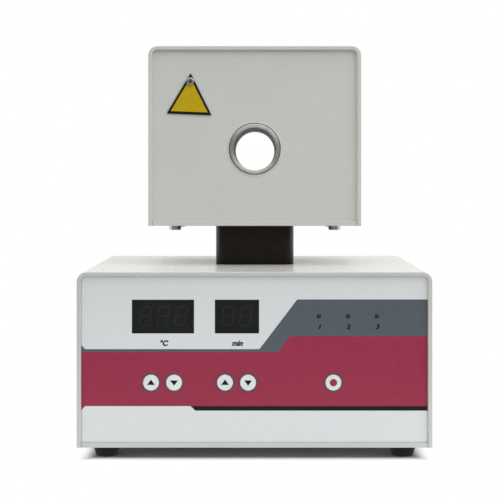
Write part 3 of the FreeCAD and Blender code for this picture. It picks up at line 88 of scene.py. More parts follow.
# %% [markdown]
# ## A small kit for finishes
#
# No real surface has one flat colour. Paint has orange peel, plastic has the grain of its mould, and
# turned metal has rings. Such detail could come from pictures, but pictures need unwrapped parts.
# Here it comes from noise and wave nodes that read the object's own coordinates in metres,
# so a grain of 0.4 mm is 0.4 mm on every part, and the pattern stays put when a part moves.
# The class below holds one Principled shader, and its short methods add a grain, a tint,
# a change of gloss or a relief to it. The plain functions before it serve the world's nodes too.


# %% Functions for any node tree
def add_node(tree, kind, inputs=(), **settings):
    """Adds a node to a tree, with its settings, and with its inputs linked or set."""
    node = tree.nodes.new(kind)
    for name, value in settings.items():
        setattr(node, name, value)
    for socket, value in dict(inputs).items():
        if isinstance(value, bpy.types.NodeSocket):
            tree.links.new(value, node.inputs[socket])
        else:
            node.inputs[socket].default_value = value
    return node


def spread(tree, value, old, new=(0.0, 1.0), **settings):
    """Maps a value from one range to another; each range is a pair of numbers."""
    ends = {"From Min": old[0], "From Max": old[1], "To Min": new[0], "To Max": new[1]}
    return add_node(tree, "ShaderNodeMapRange", {"Value": value, **ends}, **settings).outputs["Result"]


def mixed(tree, factor, first, second):
    """Mixes two shaders: the first where the factor is 0, the second where it is 1."""
    return add_node(tree, "ShaderNodeMixShader", {0: factor, 1: first, 2: second}).outputs[0]


print("Node functions ready")

# %% The Finish class
SOCKETS = {
    "metallic": "Metallic", "ior": "IOR", "transmission_weight": "Transmission Weight",
    "coat_weight": "Coat Weight", "coat_roughness": "Coat Roughness", "sheen_weight": "Sheen Weight",
    "anisotropic": "Anisotropic", "anisotropic_rotation": "Anisotropic Rotation",
    "specular_ior_level": "Specular IOR Level",
}
# Noise seldom leaves this part of its range from 0 to 1.
MIDDLE_PART = (0.3, 0.7)
MIDDLE_WIDTH = 0.4


class Finish:
    """A procedural material on one Principled shader."""

    def __init__(self, name, colour, roughness, **constants):
        self.material = bpy.data.materials.new(name)
        self.material.use_nodes = True
        self.tree = self.material.node_tree
        self.shader = self.tree.nodes["Principled BSDF"]
        self.shader.inputs["Base Color"].default_value = colour
        self.shader.inputs["Roughness"].default_value = roughness
        for socket, value in constants.items():
            self.shader.inputs[SOCKETS[socket]].default_value = value
        self.place = self.add("ShaderNodeTexCoord").outputs["Object"]
        self.last_bump = None

    def add(self, kind, inputs=(), **settings):
        return add_node(self.tree, kind, inputs, **settings)

    def link(self, output, socket):
        self.tree.links.new(output, self.shader.inputs[socket])

    def maths(self, operation, first, second=0.0):
        node = self.add("ShaderNodeMath", {0: first, 1: second}, operation=operation)
        return node.outputs[0]

    def grain(self, size, stretch=(1, 1, 1), detail=3.0, at=None):
        """Noise whose grains are about size millimetres across; stretch makes them longer."""
        scale = [1 / n for n in stretch]
        spot = self.add("ShaderNodeMapping", {"Vector": at or self.place, "Scale": scale})
        inputs = {"Vector": spot.outputs[0], "Scale": 1 / (size * MM), "Detail": detail}
        return self.add("ShaderNodeTexNoise", inputs).outputs["Fac"]

    def tint(self, factor, *colours):
        """Colours spread evenly over the factor's middle part, linked to the base colour."""
        ramp = self.add("ShaderNodeValToRGB", {"Fac": factor})
        stops = ramp.color_ramp.elements
        while len(stops) < len(colours):
            stops.new(0.5)
        for i, colour in enumerate(colours):
            stops[i].position = MIDDLE_PART[0] + MIDDLE_WIDTH * i / (len(colours) - 1)
            stops[i].color = colour
        self.link(ramp.outputs["Color"], "Base Color")
        return ramp.outputs["Color"]

    def gloss(self, factor, low, high):
        """Roughness from low to high as the factor goes over its middle part."""
        self.link(spread(self.tree, factor, MIDDLE_PART, (low, high)), "Roughness")

    def relief(self, height, depth):
        """A bump of depth millimetres on top of the bumps added before it."""
        inputs = {"Height": height, "Distance": depth * MM, "Strength": 1.0}
        if self.last_bump is not None:
            inputs["Normal"] = self.last_bump
        self.last_bump = self.add("ShaderNodeBump", inputs).outputs["Normal"]
        self.link(self.last_bump, "Normal")


print("Finish kit ready")

# %% [markdown]
# ## Powder coat
#
# Both boxes are steel sheet with a light warm grey powder coat. Powder melts into a skin with soft
# waves of about 2 mm, called orange peel, and a finer pebble from the grains themselves.
# A bump from two noises of these sizes gives both, and the gloss follows the coarser one.


# %% Powder coats
def powder_coat(name, colour, pebble):
    """Paint with orange peel and a pebble of the given depth in millimetres."""
    finish = Finish(name, colour, 0.4, coat_weight=0.15, coat_roughness=0.2)
    peel = finish.grain(2.0, detail=1.0)
    fine = finish.grain(0.45, detail=2.0)
    clouds = finish.grain(45.0, detail=2.0)
    fine_share = finish.maths("MULTIPLY", fine, 0.6)
    clouds_share = finish.maths("MULTIPLY", clouds, 0.4)
    both = finish.maths("ADD", fine_share, clouds_share)
    finish.tint(both, scaled(colour, 0.95), colour, scaled(colour, 1.04))
    finish.gloss(peel, 0.26, 0.38)
    finish.relief(peel, 0.02)
    finish.relief(fine, pebble)
    return finish.material


case_paint = powder_coat("case powder coat", screen(212, 212, 207), 0.006)
heater_paint = powder_coat("heater powder coat", screen(215, 217, 211), 0.008)
panel_paint = powder_coat("rear panel powder coat", screen(200, 201, 197), 0.008)
tray_paint = powder_coat("case tray powder coat", screen(201, 205, 204), 0.006)
# A darker copy of the case's coat, painted as shade on the cover's faces that look to the front.
front_shade_paint = powder_coat("case coat in painted front shade", screen(204, 204, 200), 0.006)
coats = (case_paint, heater_paint, panel_paint, tray_paint, front_shade_paint)
print("Powder coats:", [coat.name for coat in coats])

# %% [markdown]
# ## Printed film
#
# The case's front is a polycarbonate film, printed from behind and textured on its face, so each ink
# has the same fine satin grain over it. One finish with a colour mask could hold all inks.
# A finish for each ink is simpler, because the film's mesh is cut along the printing later,
# and its lines then stay sharp at any distance.


# %% Inks under a satin film
def ink(name, colour, shade, light):
    """An ink seen through the satin face of the film, with a slightly uneven density."""
    finish = Finish(name, colour, 0.4, specular_ior_level=0.4)
    satin = finish.grain(0.22, detail=2.0)
    density = finish.grain(3.0, detail=4.0)
    finish.tint(density, shade, colour, light)
    finish.gloss(satin, 0.34, 0.46)
    finish.relief(satin, 0.006)
    return finish.material


white_ink = ink("white film", screen(223, 227, 228), screen(222, 226, 227), screen(224, 228, 229))
slate_ink = ink("slate ink", screen(87, 97, 104), screen(85, 95, 102), screen(89, 99, 106))
crimson_ink = ink("crimson ink", screen(156, 45, 73), screen(153, 43, 71), screen(159, 47, 75))
black_ink = ink("black ink", screen(15, 16, 15), screen(12, 13, 12), screen(18, 19, 18))
print("Inks:", [m.name for m in (white_ink, slate_ink, crimson_ink, black_ink)])

# %% [markdown]
# ## Smoked windows and displays
#
# The two windows are panes of smoked polycarbonate. Behind them, unlit display digits just show as
# a slightly lighter brown. The pane could be painted dark, but then nothing would show behind it.
# A transmitting shader with a dark tint lets the real digit bars in the CAD do that work.
# The bars are milky resin, and their housings are matt black plastic.

# %% Pane, segments and housings
pane = Finish("smoked polycarbonate", screen(126, 133, 128), 0.06, transmission_weight=1.0, ior=1.57)
haze = pane.grain(6.0, detail=4.0)
pane.gloss(haze, 0.04, 0.11)
pane.relief(pane.grain(14.0, detail=1.0), 0.01)
window = pane.material

bars = Finish("unlit segments", screen(150, 138, 120), 0.5)
bars.tint(bars.grain(0.8), screen(140, 128, 110), screen(158, 146, 128))
bars.relief(bars.grain(0.3), 0.01)
display_segments = bars.material

shell = Finish("display housing", screen(68, 74, 69), 0.6)
shell.tint(shell.grain(1.2), screen(64, 70, 65), screen(72, 78, 73))
shell.relief(shell.grain(0.3), 0.012)
display_housing = shell.material
print("Display finishes:", window.name, display_segments.name, display_housing.name)

# %% [markdown]
# ## Plastics and rubber
#
# The keys are white moulded caps, and the inlet, rocker and chips are black. Moulds are often spark
# eroded, which leaves an even, tiny grain. The lamps are tinted epoxy. The post is a block of
# phenolic laminate: brown-black, with faint lines where its layers of paper were pressed. Towards its
# foot it is painted darker and duller, as the shade where it stands on the case. The feet are matt
# rubber with a little dust in their grain.


# %% Moulded plastics
def moulded(name, colour, low, high, grain_size=0.3, depth=0.012):
    """Plastic with a spark eroded grain and a slow change of gloss."""
    finish = Finish(name, colour, low)
    fine = finish.grain(grain_size, detail=2.0)
    slow = finish.grain(12.0, detail=3.0)
    both = finish.maths("MULTIPLY", finish.maths("ADD", fine, slow), 0.5)
    finish.tint(both, scaled(colour, 0.9), colour, scaled(colour, 1.1, lift=0.002))
    finish.gloss(slow, low, high)
    finish.relief(fine, depth)
    return finish.material


keys = moulded("white key caps", screen(226, 232, 231), 0.32, 0.42, depth=0.006)
black_plastic = moulded("black moulded plastic", screen(38, 39, 41), 0.38, 0.52)
terminal_plastic = moulded("green terminal plastic", screen(40, 128, 84), 0.35, 0.48)
lamps = moulded("tinted lamp epoxy", screen(44, 34, 50), 0.25, 0.35, depth=0.003)
print("Plastics:", keys.name, black_plastic.name, terminal_plastic.name, lamps.name)

# %% Phenolic post and rubber feet
# The post is painted darker and duller over this height above its foot, as shade.
FOOT_SHADE_HEIGHT = 14 * MM
laminate = Finish("phenolic laminate", screen(30, 14, 6), 0.2, sheen_weight=0.2)
layers = laminate.grain(3.0, stretch=(3, 3, 0.8), detail=4.0)
flecks = laminate.grain(0.35, detail=2.0)
brown = laminate.tint(layers, screen(22, 6, 2), screen(26, 8, 3), screen(31, 11, 5))
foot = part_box("post")[0].z
height = laminate.add("ShaderNodeSeparateXYZ", {0: laminate.place}).outputs["Z"]
# Painted shade: the colour and the reflection fade towards the post's foot.
unshaded_share = spread(laminate.tree, height, (foot, foot + FOOT_SHADE_HEIGHT), (0.2, 1.0))
foot_shaded_brown = laminate.add("ShaderNodeVectorMath", {0: brown, "Scale": unshaded_share}, operation="SCALE")
laminate.link(foot_shaded_brown.outputs[0], "Base Color")
laminate.link(laminate.maths("MULTIPLY", unshaded_share, 0.5), "Specular IOR Level")
laminate.gloss(layers, 0.17, 0.24)
laminate.relief(layers, 0.003)
laminate.relief(flecks, 0.004)
phenolic = laminate.material

tread = Finish("matt rubber", screen(18, 23, 23), 0.75, specular_ior_level=0.3)
dust = tread.grain(0.9, detail=5.0)
tread.tint(dust, screen(13, 18, 18), screen(18, 23, 23), screen(29, 34, 33))
tread.gloss(dust, 0.62, 0.85)
tread.relief(tread.grain(0.4), 0.03)
rubber = tread.material
print("Post and feet:", phenolic.name, rubber.name)

# %% [markdown]
# ## Metals
#
# Sheet brackets are zinc plated, which shows pale crystals. Screws are nickel plated with fine
# scratches, and extruded aluminium has lines along its length. A rolled grain comes from noise that
# is stretched along the line of working, and crystals come from a Voronoi texture.


# %% Plated, extruded and drawn metals
def worked_metal(name, colour, low, high, stretch=(1, 1, 1), depth=0.004):
    """Bare or plated metal with scratches along the way it was worked."""
    finish = Finish(name, colour, low, metallic=1.0)
    lines = finish.grain(0.5, stretch=stretch, detail=4.0)
    stain = finish.grain(15.0, detail=3.0)
    finish.tint(stain, scaled(colour, 0.88), colour)
    finish.gloss(lines, low, high)
    finish.relief(lines, depth)
    return finish


silver_grey = screen(202, 204, 206)
core_grey = screen(118, 112, 108)
screws = worked_metal("nickel plated screws", screen(222, 222, 218), 0.26, 0.42).material
brass = worked_metal("turned brass", screen(214, 178, 112), 0.25, 0.4, (1, 1, 0.3)).material
aluminium = worked_metal("extruded aluminium", silver_grey, 0.35, 0.5, (0.4, 0.4, 12)).material
core_steel = worked_metal("laminated core steel", core_grey, 0.45, 0.6, (20, 0.5, 20), 0.03).material

plating = worked_metal("zinc plated steel", screen(196, 200, 204), 0.3, 0.45)
crystals = plating.add("ShaderNodeTexVoronoi", {"Vector": plating.place, "Scale": 1 / (4.0 * MM)})
plating.gloss(crystals.outputs["Distance"], 0.28, 0.5)
plating.relief(crystals.outputs["Distance"], 0.004)
zinc_steel = plating.material
print("Metals:", [m.name for m in (screws, brass, aluminium, core_steel, zinc_steel)])

# %% [markdown]
# ## The turned tube
#
# The heated tube is turned on a lathe. Its end face has rings round the axis, so its highlight
# fans out above and below the hole and leaves the left and right dark. A plain metal can't do that.
# The shader's anisotropy can, if its tangent runs round the axis: the cross product of the axis
# and the way from the axis to the point gives that tangent from object coordinates alone.
# A quarter turn of the anisotropy then spreads the highlight across the rings, not along them.


# %% Turned steel round the tube's axis
def middle_of(node):
    """The middle of a CAD part's box, in metres."""
    low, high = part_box(node)
    return (low + high) / 2


tube_centre = middle_of("heating_tube")
across = {"anisotropic": 1.0, "anisotropic_rotation": 0.25}
turned = Finish("turned steel", screen(216, 216, 210), 0.5, metallic=0.75, **across)
from_axis = turned.add("ShaderNodeVectorMath", {0: turned.place, 1: tube_centre}, operation="SUBTRACT")
pair = {0: from_axis.outputs[0], 1: (0, 1, 0)}
around = turned.add("ShaderNodeVectorMath", pair, operation="CROSS_PRODUCT").outputs[0]
tangent = turned.add("ShaderNodeVectorMath", {0: around}, operation="NORMALIZE").outputs[0]
turned.link(tangent, "Tangent")
radius = turned.add("ShaderNodeVectorMath", {0: around}, operation="LENGTH").outputs["Value"]
along = turned.add("ShaderNodeSeparateXYZ", {0: turned.place}).outputs["Y"]
path = turned.add("ShaderNodeCombineXYZ", {"X": radius, "Y": along})
rings = turned.grain(0.25, at=path.outputs[0])
blotches = turned.grain(7.0, detail=4.0)
turned.tint(blotches, screen(208, 208, 202), screen(216, 216, 210), screen(224, 224, 218))
turned.gloss(rings, 0.42, 0.58)
turned.relief(rings, 0.006)
tube = turned.material
print("Tube axis at", [round(n / MM, 2) for n in tube_centre], "mm")

# %% The bore, dark from heat
bore = Finish("heat darkened bore", screen(154, 156, 142), 0.55, specular_ior_level=0.35)
soot = bore.grain(5.0, stretch=(1, 3, 1), detail=5.0)
bore.tint(soot, screen(136, 138, 124), screen(154, 156, 142), screen(166, 168, 154))
bore.gloss(soot, 0.5, 0.68)
bore.relief(bore.grain(0.4, stretch=(1, 0.3, 1)), 0.008)
print("Bore finish:", bore.material.name)

# %% [markdown]
# ## Boards, fibre and ceramic
#
# Inside are circuit boards with a green lacquer over copper tracks, a woven glass sleeve round the
# band heater, braided leads and an unglazed ceramic block. Tracks are straight and square, so a
# brick texture draws them, turned a little about X so that it shows on upright and on lying boards.
# A weave is two waves at right angles, and a braid is the same two turned to a slant.

# %% Circuit boards
BOARD_TURN = 0.62
lacquer = Finish("solder lacquer", screen(26, 104, 60), 0.35, coat_weight=0.4, coat_roughness=0.1)
turn = lacquer.add("ShaderNodeMapping", {"Vector": lacquer.place, "Rotation": (BOARD_TURN, 0, 0)})
brick_sizes = {"Scale": 1.0, "Mortar Size": 0.25 * MM, "Brick Width": 11 * MM, "Row Height": 2.1 * MM}
tracks = lacquer.add("ShaderNodeTexBrick", {"Vector": turn.outputs[0], **brick_sizes})
lacquer.tint(tracks.outputs["Fac"], screen(22, 92, 52), screen(42, 132, 76))
lacquer.relief(tracks.outputs["Fac"], 0.03)
lacquer.gloss(lacquer.grain(5.0), 0.28, 0.42)
boards = lacquer.material
print("Board finish:", boards.name)


# %% Woven sleeve, braided leads and ceramic
# At a scale of 1 the wave texture repeats every 0.314 m.
WAVE_PERIOD = 0.314


def woven(name, colour, shade, pitch, slant):
    """Two sets of threads that cross, pitch millimetres apart; slant turns them for a braid."""
    finish = Finish(name, colour, 0.85, sheen_weight=0.3)
    waves = []
    for direction in ("X", "Z"):
        turned_by = {"Vector": finish.place, "Rotation": (slant, slant, slant)}
        spot = finish.add("ShaderNodeMapping", turned_by)
        inputs = {"Vector": spot.outputs[0], "Scale": WAVE_PERIOD / (pitch * MM), "Distortion": 0.4}
        wave = finish.add("ShaderNodeTexWave", inputs, bands_direction=direction)
        waves.append(wave.outputs["Fac"])
    threads = finish.maths("MAXIMUM", *waves)
    finish.tint(threads, shade, colour)
    finish.relief(threads, 0.12)
    finish.relief(finish.grain(0.2), 0.02)
    return finish.material


fibre = woven("woven glass sleeve", screen(232, 229, 220), screen(196, 190, 176), 1.6, 0.0)
lead_insulation = woven("braided leads", screen(222, 216, 204), screen(176, 168, 152), 0.7, 0.78)
ceramic = moulded("unglazed ceramic", screen(233, 228, 218), 0.7, 0.85, grain_size=0.5, depth=0.03)

glass = Finish("fuse glass", screen(244, 248, 246), 0.02, transmission_weight=1.0, ior=1.47)
glass.gloss(glass.grain(3.0), 0.01, 0.05)
glass.relief(glass.grain(6.0, detail=1.0), 0.005)
fuse_glass = glass.material

enamel = Finish("yellow enamel", screen(202, 172, 0), 0.4, specular_ior_level=0.3)
enamel.tint(enamel.grain(3.0), screen(198, 167, 0), screen(202, 172, 0), screen(206, 177, 4))
enamel.gloss(enamel.grain(1.5), 0.34, 0.48)
enamel.relief(enamel.grain(1.2), 0.012)
yellow_paint = enamel.material
print("Other finishes:", [m.name for m in (fibre, lead_insulation, ceramic, fuse_glass, yellow_paint)])

# %% [markdown]
# ## Dress the CAD parts
#
# The record names a material slot for every CAD part. Each finish above has its slot's name, so one
# loop puts it into the part's own material slot. The part's mesh isn't touched.

# %% Put a finish on every CAD part
finish_of = {
    "case_paint": case_paint, "heater_paint": heater_paint, "panel_paint": panel_paint,
    "film": white_ink, "window": window, "display_housing": display_housing,
    "display_segments": display_segments, "lamps": lamps, "keys": keys,
    "black_plastic": black_plastic, "boards": boards, "zinc_steel": zinc_steel, "screws": screws,
    "tube": tube, "brass": brass, "phenolic": phenolic, "rubber": rubber, "fuse_glass": fuse_glass,
    "core_steel": core_steel, "aluminium": aluminium, "terminal_plastic": terminal_plastic,
    "ceramic": ceramic, "fibre": fibre, "lead_insulation": lead_insulation,
    "yellow_paint": yellow_paint,
}
slot_of = {part["node"]: part["material_slot"] for part in frame["record"]["subparts"]}
for node, part in frame["nodes"].items():
    for slot in part.material_slots:
        slot.material = finish_of[slot_of[node]]
print("Dressed", len(slot_of), "CAD parts from", len(set(slot_of.values())), "slots")

# %% [markdown]
# ## Turn a bmesh into a piece
#
# Sheet edges, lips and mouldings are never knife sharp: a thin light line along each edge is what
# makes a part look solid. CAD leaves those edges sharp to keep its solids simple. So a visible part
# is copied, its triangles are joined into clean flat faces, and its outer edges get a small bevel.
# The copy rides on the part's own body and stands for it. Weighted normals keep the flats flat.


# %% Helpers that make pieces
def merged_copy(node):
    """A bmesh of a CAD part, its triangles joined into flat faces."""
    bm = bmesh.new()
    bm.from_mesh(frame["nodes"][node].data)
    bmesh.ops.remove_doubles(bm, verts=bm.verts, dist=0.002 * MM)
    bmesh.ops.dissolve_limit(bm, angle_limit=math.radians(1), verts=bm.verts, edges=bm.edges)
    return bm


def ease_edges(bm, width, segments, chosen):
    """Bevels the sharp edges whose two ends both pass the chosen test."""
    edges = []
    for edge in bm.edges:
        sharp = len(edge.link_faces) == 2 and edge.calc_face_angle() > math.radians(40)
        if sharp and all(chosen(v.co / MM) for v in edge.verts):
            edges.append(edge)
    bmesh.ops.bevel(
        bm, geom=edges, offset=width * MM, offset_type="OFFSET", segments=segments,
        profile=0.5, affect="EDGES", material=-1, clamp_overlap=True, loop_slide=True,
    )
    return len(edges)


def finish_piece(bm, name, finishes, body="heater", stands_for=()):
    """Makes the object, sets its shading and finishes, and puts it on its body."""
    mesh = bpy.data.meshes.new(name)
    bm.to_mesh(mesh)
    bm.free()
    for spare in ("custom_normal", "sharp_edge"):
        if spare in mesh.attributes:
            mesh.attributes.remove(mesh.attributes[spare])
    for material in finishes:
        mesh.materials.append(material)
    mesh.shade_smooth()
    mesh.set_sharp_from_angle(angle=math.radians(32))
    piece = bpy.data.objects.new(name, mesh)
    bpy.context.scene.collection.objects.link(piece)
    weights = piece.modifiers.new("weighted normals", "WEIGHTED_NORMAL")
    weights.keep_sharp = True
    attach(piece, body)
    if stands_for:
        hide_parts(*stands_for)
    print(f"{name}: {len(mesh.polygons)} faces")


def body_of_node(node):
    """The CAD body that a part belongs to, from the record."""
    for body, nodes in frame["record"]["behaviour"]["bodies"].items():
        if node in nodes:
            return body
    return "heater"


print("Helpers ready")

# %% [markdown]
# ## Eased parts
#
# The table lists the outer parts in turn: the new piece's name, the CAD part, the width of its
# rounding in millimetres, its segments, the sides of its box whose edges get it, and how deep an
# edge may lie from these sides, also in millimetres. The feet are moulded with a generous lower edge.
# The case's tray was coated apart from its cover, so it has its own colour. The cover's faces that
# look to the front take a slightly darker copy of its coat, as painted shade.


# %% Round the edges of the outer parts
# A point this near to a side of the box, in millimetres, lies on it.
SKIN = 0.1
AXIS_OF = {"front": 1, "back": 1, "bottom": 2, "top": 2}
LOW_SIDES = ("front", "bottom")
ENDS = ("front", "back")
ANYWHERE = ()


def on_sides(node, sides, depth=SKIN):
    """A test for points no deeper in a part's box than depth millimetres from the named sides."""
    low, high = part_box(node)

    def test(point):
        for side in sides:
            axis = AXIS_OF[side]
            if side in LOW_SIDES:
                inwards = point[axis] - low[axis] / MM
            else:
                inwards = high[axis] / MM - point[axis]
            if inwards < depth:
                return True
        return sides == ANYWHERE

    return test


LIP, BOLT_HEAD = 1.6, 3.9
eased = [
    ("case_shell", "case_cover", 0.5, 3, ENDS, SKIN),
    ("heater_shell", "heater_cover", 0.5, 3, ENDS, SKIN),
    ("case_floor", "case_tray", 0.6, 3, ENDS, LIP),
    ("heater_floor", "heater_tray", 0.6, 3, ENDS, LIP),
    ("heater_front", "heater_front_panel", 0.4, 2, ("front",), SKIN),
    ("heater_back", "heater_rear_panel", 0.25, 2, ("back",), SKIN),
    ("laminate_post", "post", 0.4, 2, ("bottom", "top"), SKIN),
    ("moulded_feet", "rubber_feet", 0.8, 3, ("bottom",), SKIN),
    ("bolt_heads", "heater_bolts", 0.45, 2, ("bottom",), BOLT_HEAD),
    ("inlet_frame", "power_inlet", 0.5, 2, ("back",), SKIN),
    ("rocker_cap", "power_rocker", 0.35, 2, ANYWHERE, SKIN),
    ("drawer_front", "fuse_drawer", 0.3, 2, ANYWHERE, SKIN),
    ("temperature_pane", "temperature_window", 0.2, 2, ("front",), SKIN),
    ("time_pane", "time_window", 0.2, 2, ("front",), SKIN),
    ("rear_sheet", "rear_panel", 0.25, 2, ("back",), SKIN),
]
own_finish = {"case_tray": tray_paint}
# The cover's faces that look to the front get the darker copy of its coat, as painted shade.
front_shade_finish = {"case_cover": front_shade_paint}
for name, node, width, segments, sides, depth in eased:
    bm = merged_copy(node)
    count = ease_edges(bm, width, segments, on_sides(node, sides, depth))
    slot = slot_of[node]
    finishes = [own_finish.get(node, finish_of[slot])]
    if node in front_shade_finish:
        finishes.append(front_shade_finish[node])
        for face in bm.faces:
            face.material_index = int(face.normal.y < -0.7)
    finish_piece(bm, name, finishes, body_of_node(node), [node])
    print("  edges eased:", count)

# %% [markdown]
# ## Two finishes on the tube
#
# The tube's outside and ends are bright, but its bore is dark from heat and from what is pushed
# through it. Two materials share the one mesh: every face that looks at the axis takes the second.
# The outer rim is turned rounder than the inner one, so it catches the light from above.

# %% Ease the tube and darken its bore
TUBE_WALL = 3.0
OUTER_RIM, INNER_RIM = 1.0, 0.3
bm = merged_copy("heating_tube")
at_tube_end = on_sides("heating_tube", ENDS)
outer_radius = (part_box("heating_tube")[1].x - tube_centre.x) / MM
wall_middle = outer_radius - TUBE_WALL / 2


def on_rim(inside):
    """A test for points on the inner or on the outer rim of the tube's two ends."""

    def test(point):
        away = math.hypot(point.x - tube_centre.x / MM, point.z - tube_centre.z / MM)
        return at_tube_end(point) and (away < wall_middle) == inside

    return test


ease_edges(bm, OUTER_RIM, 4, on_rim(inside=False))
ease_edges(bm, INNER_RIM, 2, on_rim(inside=True))
for face in bm.faces:
    outwards = face.calc_center_median() - tube_centre
    outwards.y = 0
    looks_at_axis = face.normal.dot(outwards.normalized()) < -0.9
    face.material_index = int(looks_at_axis)
finish_piece(bm, "turned_tube", [tube, bore.material], "heater", ["heating_tube"])

# %% [markdown]
# ## Print the front film
#
# The printing is flat ink, so it has no thickness to model. It could be a colour mask inside one
# material. Here the film's own face is cut along the printed outlines instead, and the faces inside
# each outline take that ink. The outlines are pairs of x and z in millimetres on the film.


# %% A helper that prints an area
def sides_of(corners):
    """The pairs of neighbouring corners of a closed outline."""
    return zip(corners, corners[1:] + corners[:1])


def is_inside(x, z, corners):
    """Even-odd test of a point against a closed outline."""
    inside = False
    for (x0, z0), (x1, z1) in sides_of(corners):
        if (z0 > z) != (z1 > z) and x < x0 + (z - z0) * (x1 - x0) / (z1 - z0):
            inside = not inside
    return inside


def looks_to_front(face):
    """True for faces that look straight to the front."""
    return face.normal.y < -0.99


def print_area(bm, corners, ink_index):
    """Cuts the faces that look to the front along an outline and inks those inside it."""
    for (x0, z0), (x1, z1) in sides_of(corners):
        front = [face for face in bm.faces if looks_to_front(face)]
        parts = {edge for face in front for edge in face.edges}
        points = {vert for face in front for vert in face.verts}
        bmesh.ops.bisect_plane(
            bm, geom=[*front, *parts, *points], dist=0.0005 * MM,
            plane_co=(x0 * MM, 0, z0 * MM), plane_no=(z1 - z0, 0, x0 - x1),
        )
    inked = 0
    for face in bm.faces:
        spot = face.calc_center_median() / MM
        if looks_to_front(face) and is_inside(spot.x, spot.z, corners):
            face.material_index = ink_index
            inked += face.calc_area()
    return round(inked / MM / MM, 1)


print("Printing helper ready")

# %% Print the bands on the film
left, right = -122.5, 122.5
notch = -119.8
slate_top, stripe_top, stripe_low = 114.2, 79.1, 77.0
slant_foot, slant_head = 3.5, 30.2
step_foot, step_head, step_top = 16.9, 24.9, 88.3
crimson_low, black_low = 38.8, 35.6
slate_area = [
    (left, 82.2), (notch, stripe_top), (slant_foot, stripe_top), (slant_head, slate_top),
    (right, slate_top), (right, step_top), (step_head, step_top), (step_foot, stripe_low),
    (left, stripe_low),
]
crimson_area = [
    (left, stripe_low), (step_foot, stripe_low), (step_head, step_top), (right, step_top),
    (right, crimson_low), (notch, crimson_low), (left, 35.8),
]
black_area = [(-45.2, crimson_low), (right, crimson_low), (right, black_low), (-41.8, black_low)]
bm = merged_copy("front_film")
for number, area in ((1, slate_area), (2, crimson_area), (3, black_area)):
    print("ink", number, "covers", print_area(bm, area, number), "square mm")
bmesh.ops.dissolve_limit(
    bm, angle_limit=math.radians(1), verts=bm.verts, edges=bm.edges, delimit={"MATERIAL"}
)
inks = [white_ink, slate_ink, crimson_ink, black_ink]
finish_piece(bm, "printed_film", inks, "heater", ["front_film"])

# %% [markdown]
# ## Keys
#
# Four keys carry a black arrow head, and the timer's key a crimson dot. The arrows are printed into
# the caps in the same way as the film. A dot can't be cut by a few straight planes, so it is a
# thin disc of its own: a circle, extruded and bevelled. A dark ring lines each key's hole.

# %% Print the arrow heads
ARROW_HALF_WIDTH, ARROW_FOOT, ARROW_TIP = 2.8, 1.6, 2.2
arrow_ways = {
    "temperature_up_key": 1, "temperature_down_key": -1, "time_up_key": 1, "time_down_key": -1,
}
for node, way in arrow_ways.items():
    x, _, z = middle_of(node) / MM
    half_width = ARROW_HALF_WIDTH * way
    foot = z - ARROW_FOOT * way
    arrow = [(x - half_width, foot), (x + half_width, foot), (x, z + ARROW_TIP * way)]
    bm = merged_copy(node)
    area = print_area(bm, arrow, 1)
    finish_piece(bm, node.replace("_key", "_cap"), [keys, black_ink], node, [node])
    print("  arrow covers", area, "square mm")


# %% Rings round the key holes and the timer's dot
TO_FRONT = Matrix.Rotation(math.radians(90), 4, "X")


def weld(bm):
    """Joins points that lie within a micrometre of each other."""
    bmesh.ops.remove_doubles(bm, verts=bm.verts, dist=0.001 * MM)


def disc(centre, radius, thickness, edge):
    """A thin disc that looks to the front, with its front edge bevelled."""
    bm = bmesh.new()
    facing = Matrix.Translation(centre * MM) @ TO_FRONT
    bmesh.ops.create_circle(bm, cap_ends=True, segments=48, radius=radius * MM, matrix=facing)
    made = bmesh.ops.extrude_face_region(bm, geom=bm.faces[:])
    moved = [item for item in made["geom"] if isinstance(item, bmesh.types.BMVert)]
    bmesh.ops.translate(bm, verts=moved, vec=(0, -thickness * MM, 0))
    bmesh.ops.recalc_face_normals(bm, faces=bm.faces)
    front = centre[1] - thickness
    ease_edges(bm, edge, 2, lambda point: point.y < front + 0.001)
    return bm


def spun_ring(bm, section, place):
    """Spins a closed section of (radius, height) pairs round the Z axis of a place."""
    older = set(bm.verts)
    verts = [bm.verts.new((radius * MM, 0, height * MM)) for radius, height in section]
    edges = [bm.edges.new(pair) for pair in zip(verts, verts[1:] + verts[:1])]
    bmesh.ops.spin(
        bm, geom=verts + edges, cent=(0, 0, 0), axis=(0, 0, 1), dvec=(0, 0, 0),
        angle=math.radians(360), steps=48, use_merge=True, use_duplicate=False,
    )
    bmesh.ops.transform(bm, matrix=place, verts=[vert for vert in bm.verts if vert not in older])


DOT_RADIUS, DOT_THICKNESS, DOT_EDGE = 2.6, 0.06, 0.03
RING_INNER, RING_OUTER, RING_HEIGHT, RING_EDGE = 6.0, 7.0, 0.12, 0.15
timer = middle_of("timer_key") / MM
timer.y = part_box("timer_key")[0].y / MM
dot = disc(timer, DOT_RADIUS, DOT_THICKNESS, DOT_EDGE)
finish_piece(dot, "timer_dot", [crimson_ink], "timer_key")
film_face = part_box("front_film")[0].y / MM
bezel = [
    (RING_INNER, 0), (RING_INNER, RING_HEIGHT), (RING_OUTER - RING_EDGE, RING_HEIGHT),
    (RING_OUTER, 0.4 * RING_HEIGHT), (RING_OUTER, 0),
]
bm = bmesh.new()
for node in (*arrow_ways, "timer_key"):
    on_film = middle_of(node)
    on_film.y = film_face * MM
    spun_ring(bm, bezel, Matrix.Translation(on_film) @ TO_FRONT)
weld(bm)
bmesh.ops.recalc_face_normals(bm, faces=bm.faces)
ring_paint = moulded("dark grey ring", screen(104, 66, 80), 0.4, 0.5)
finish_piece(bm, "key_rings", [ring_paint])

# %% [markdown]
# ## Marks on the power rocker
#
# A power rocker has a bar for on and a ring for off, filled with white paint. Both lie on the two
# halves of its face, and the half that is pressed in at rest carries the ring. The places are read
# from the CAD part: they are its two largest faces that look to the back.

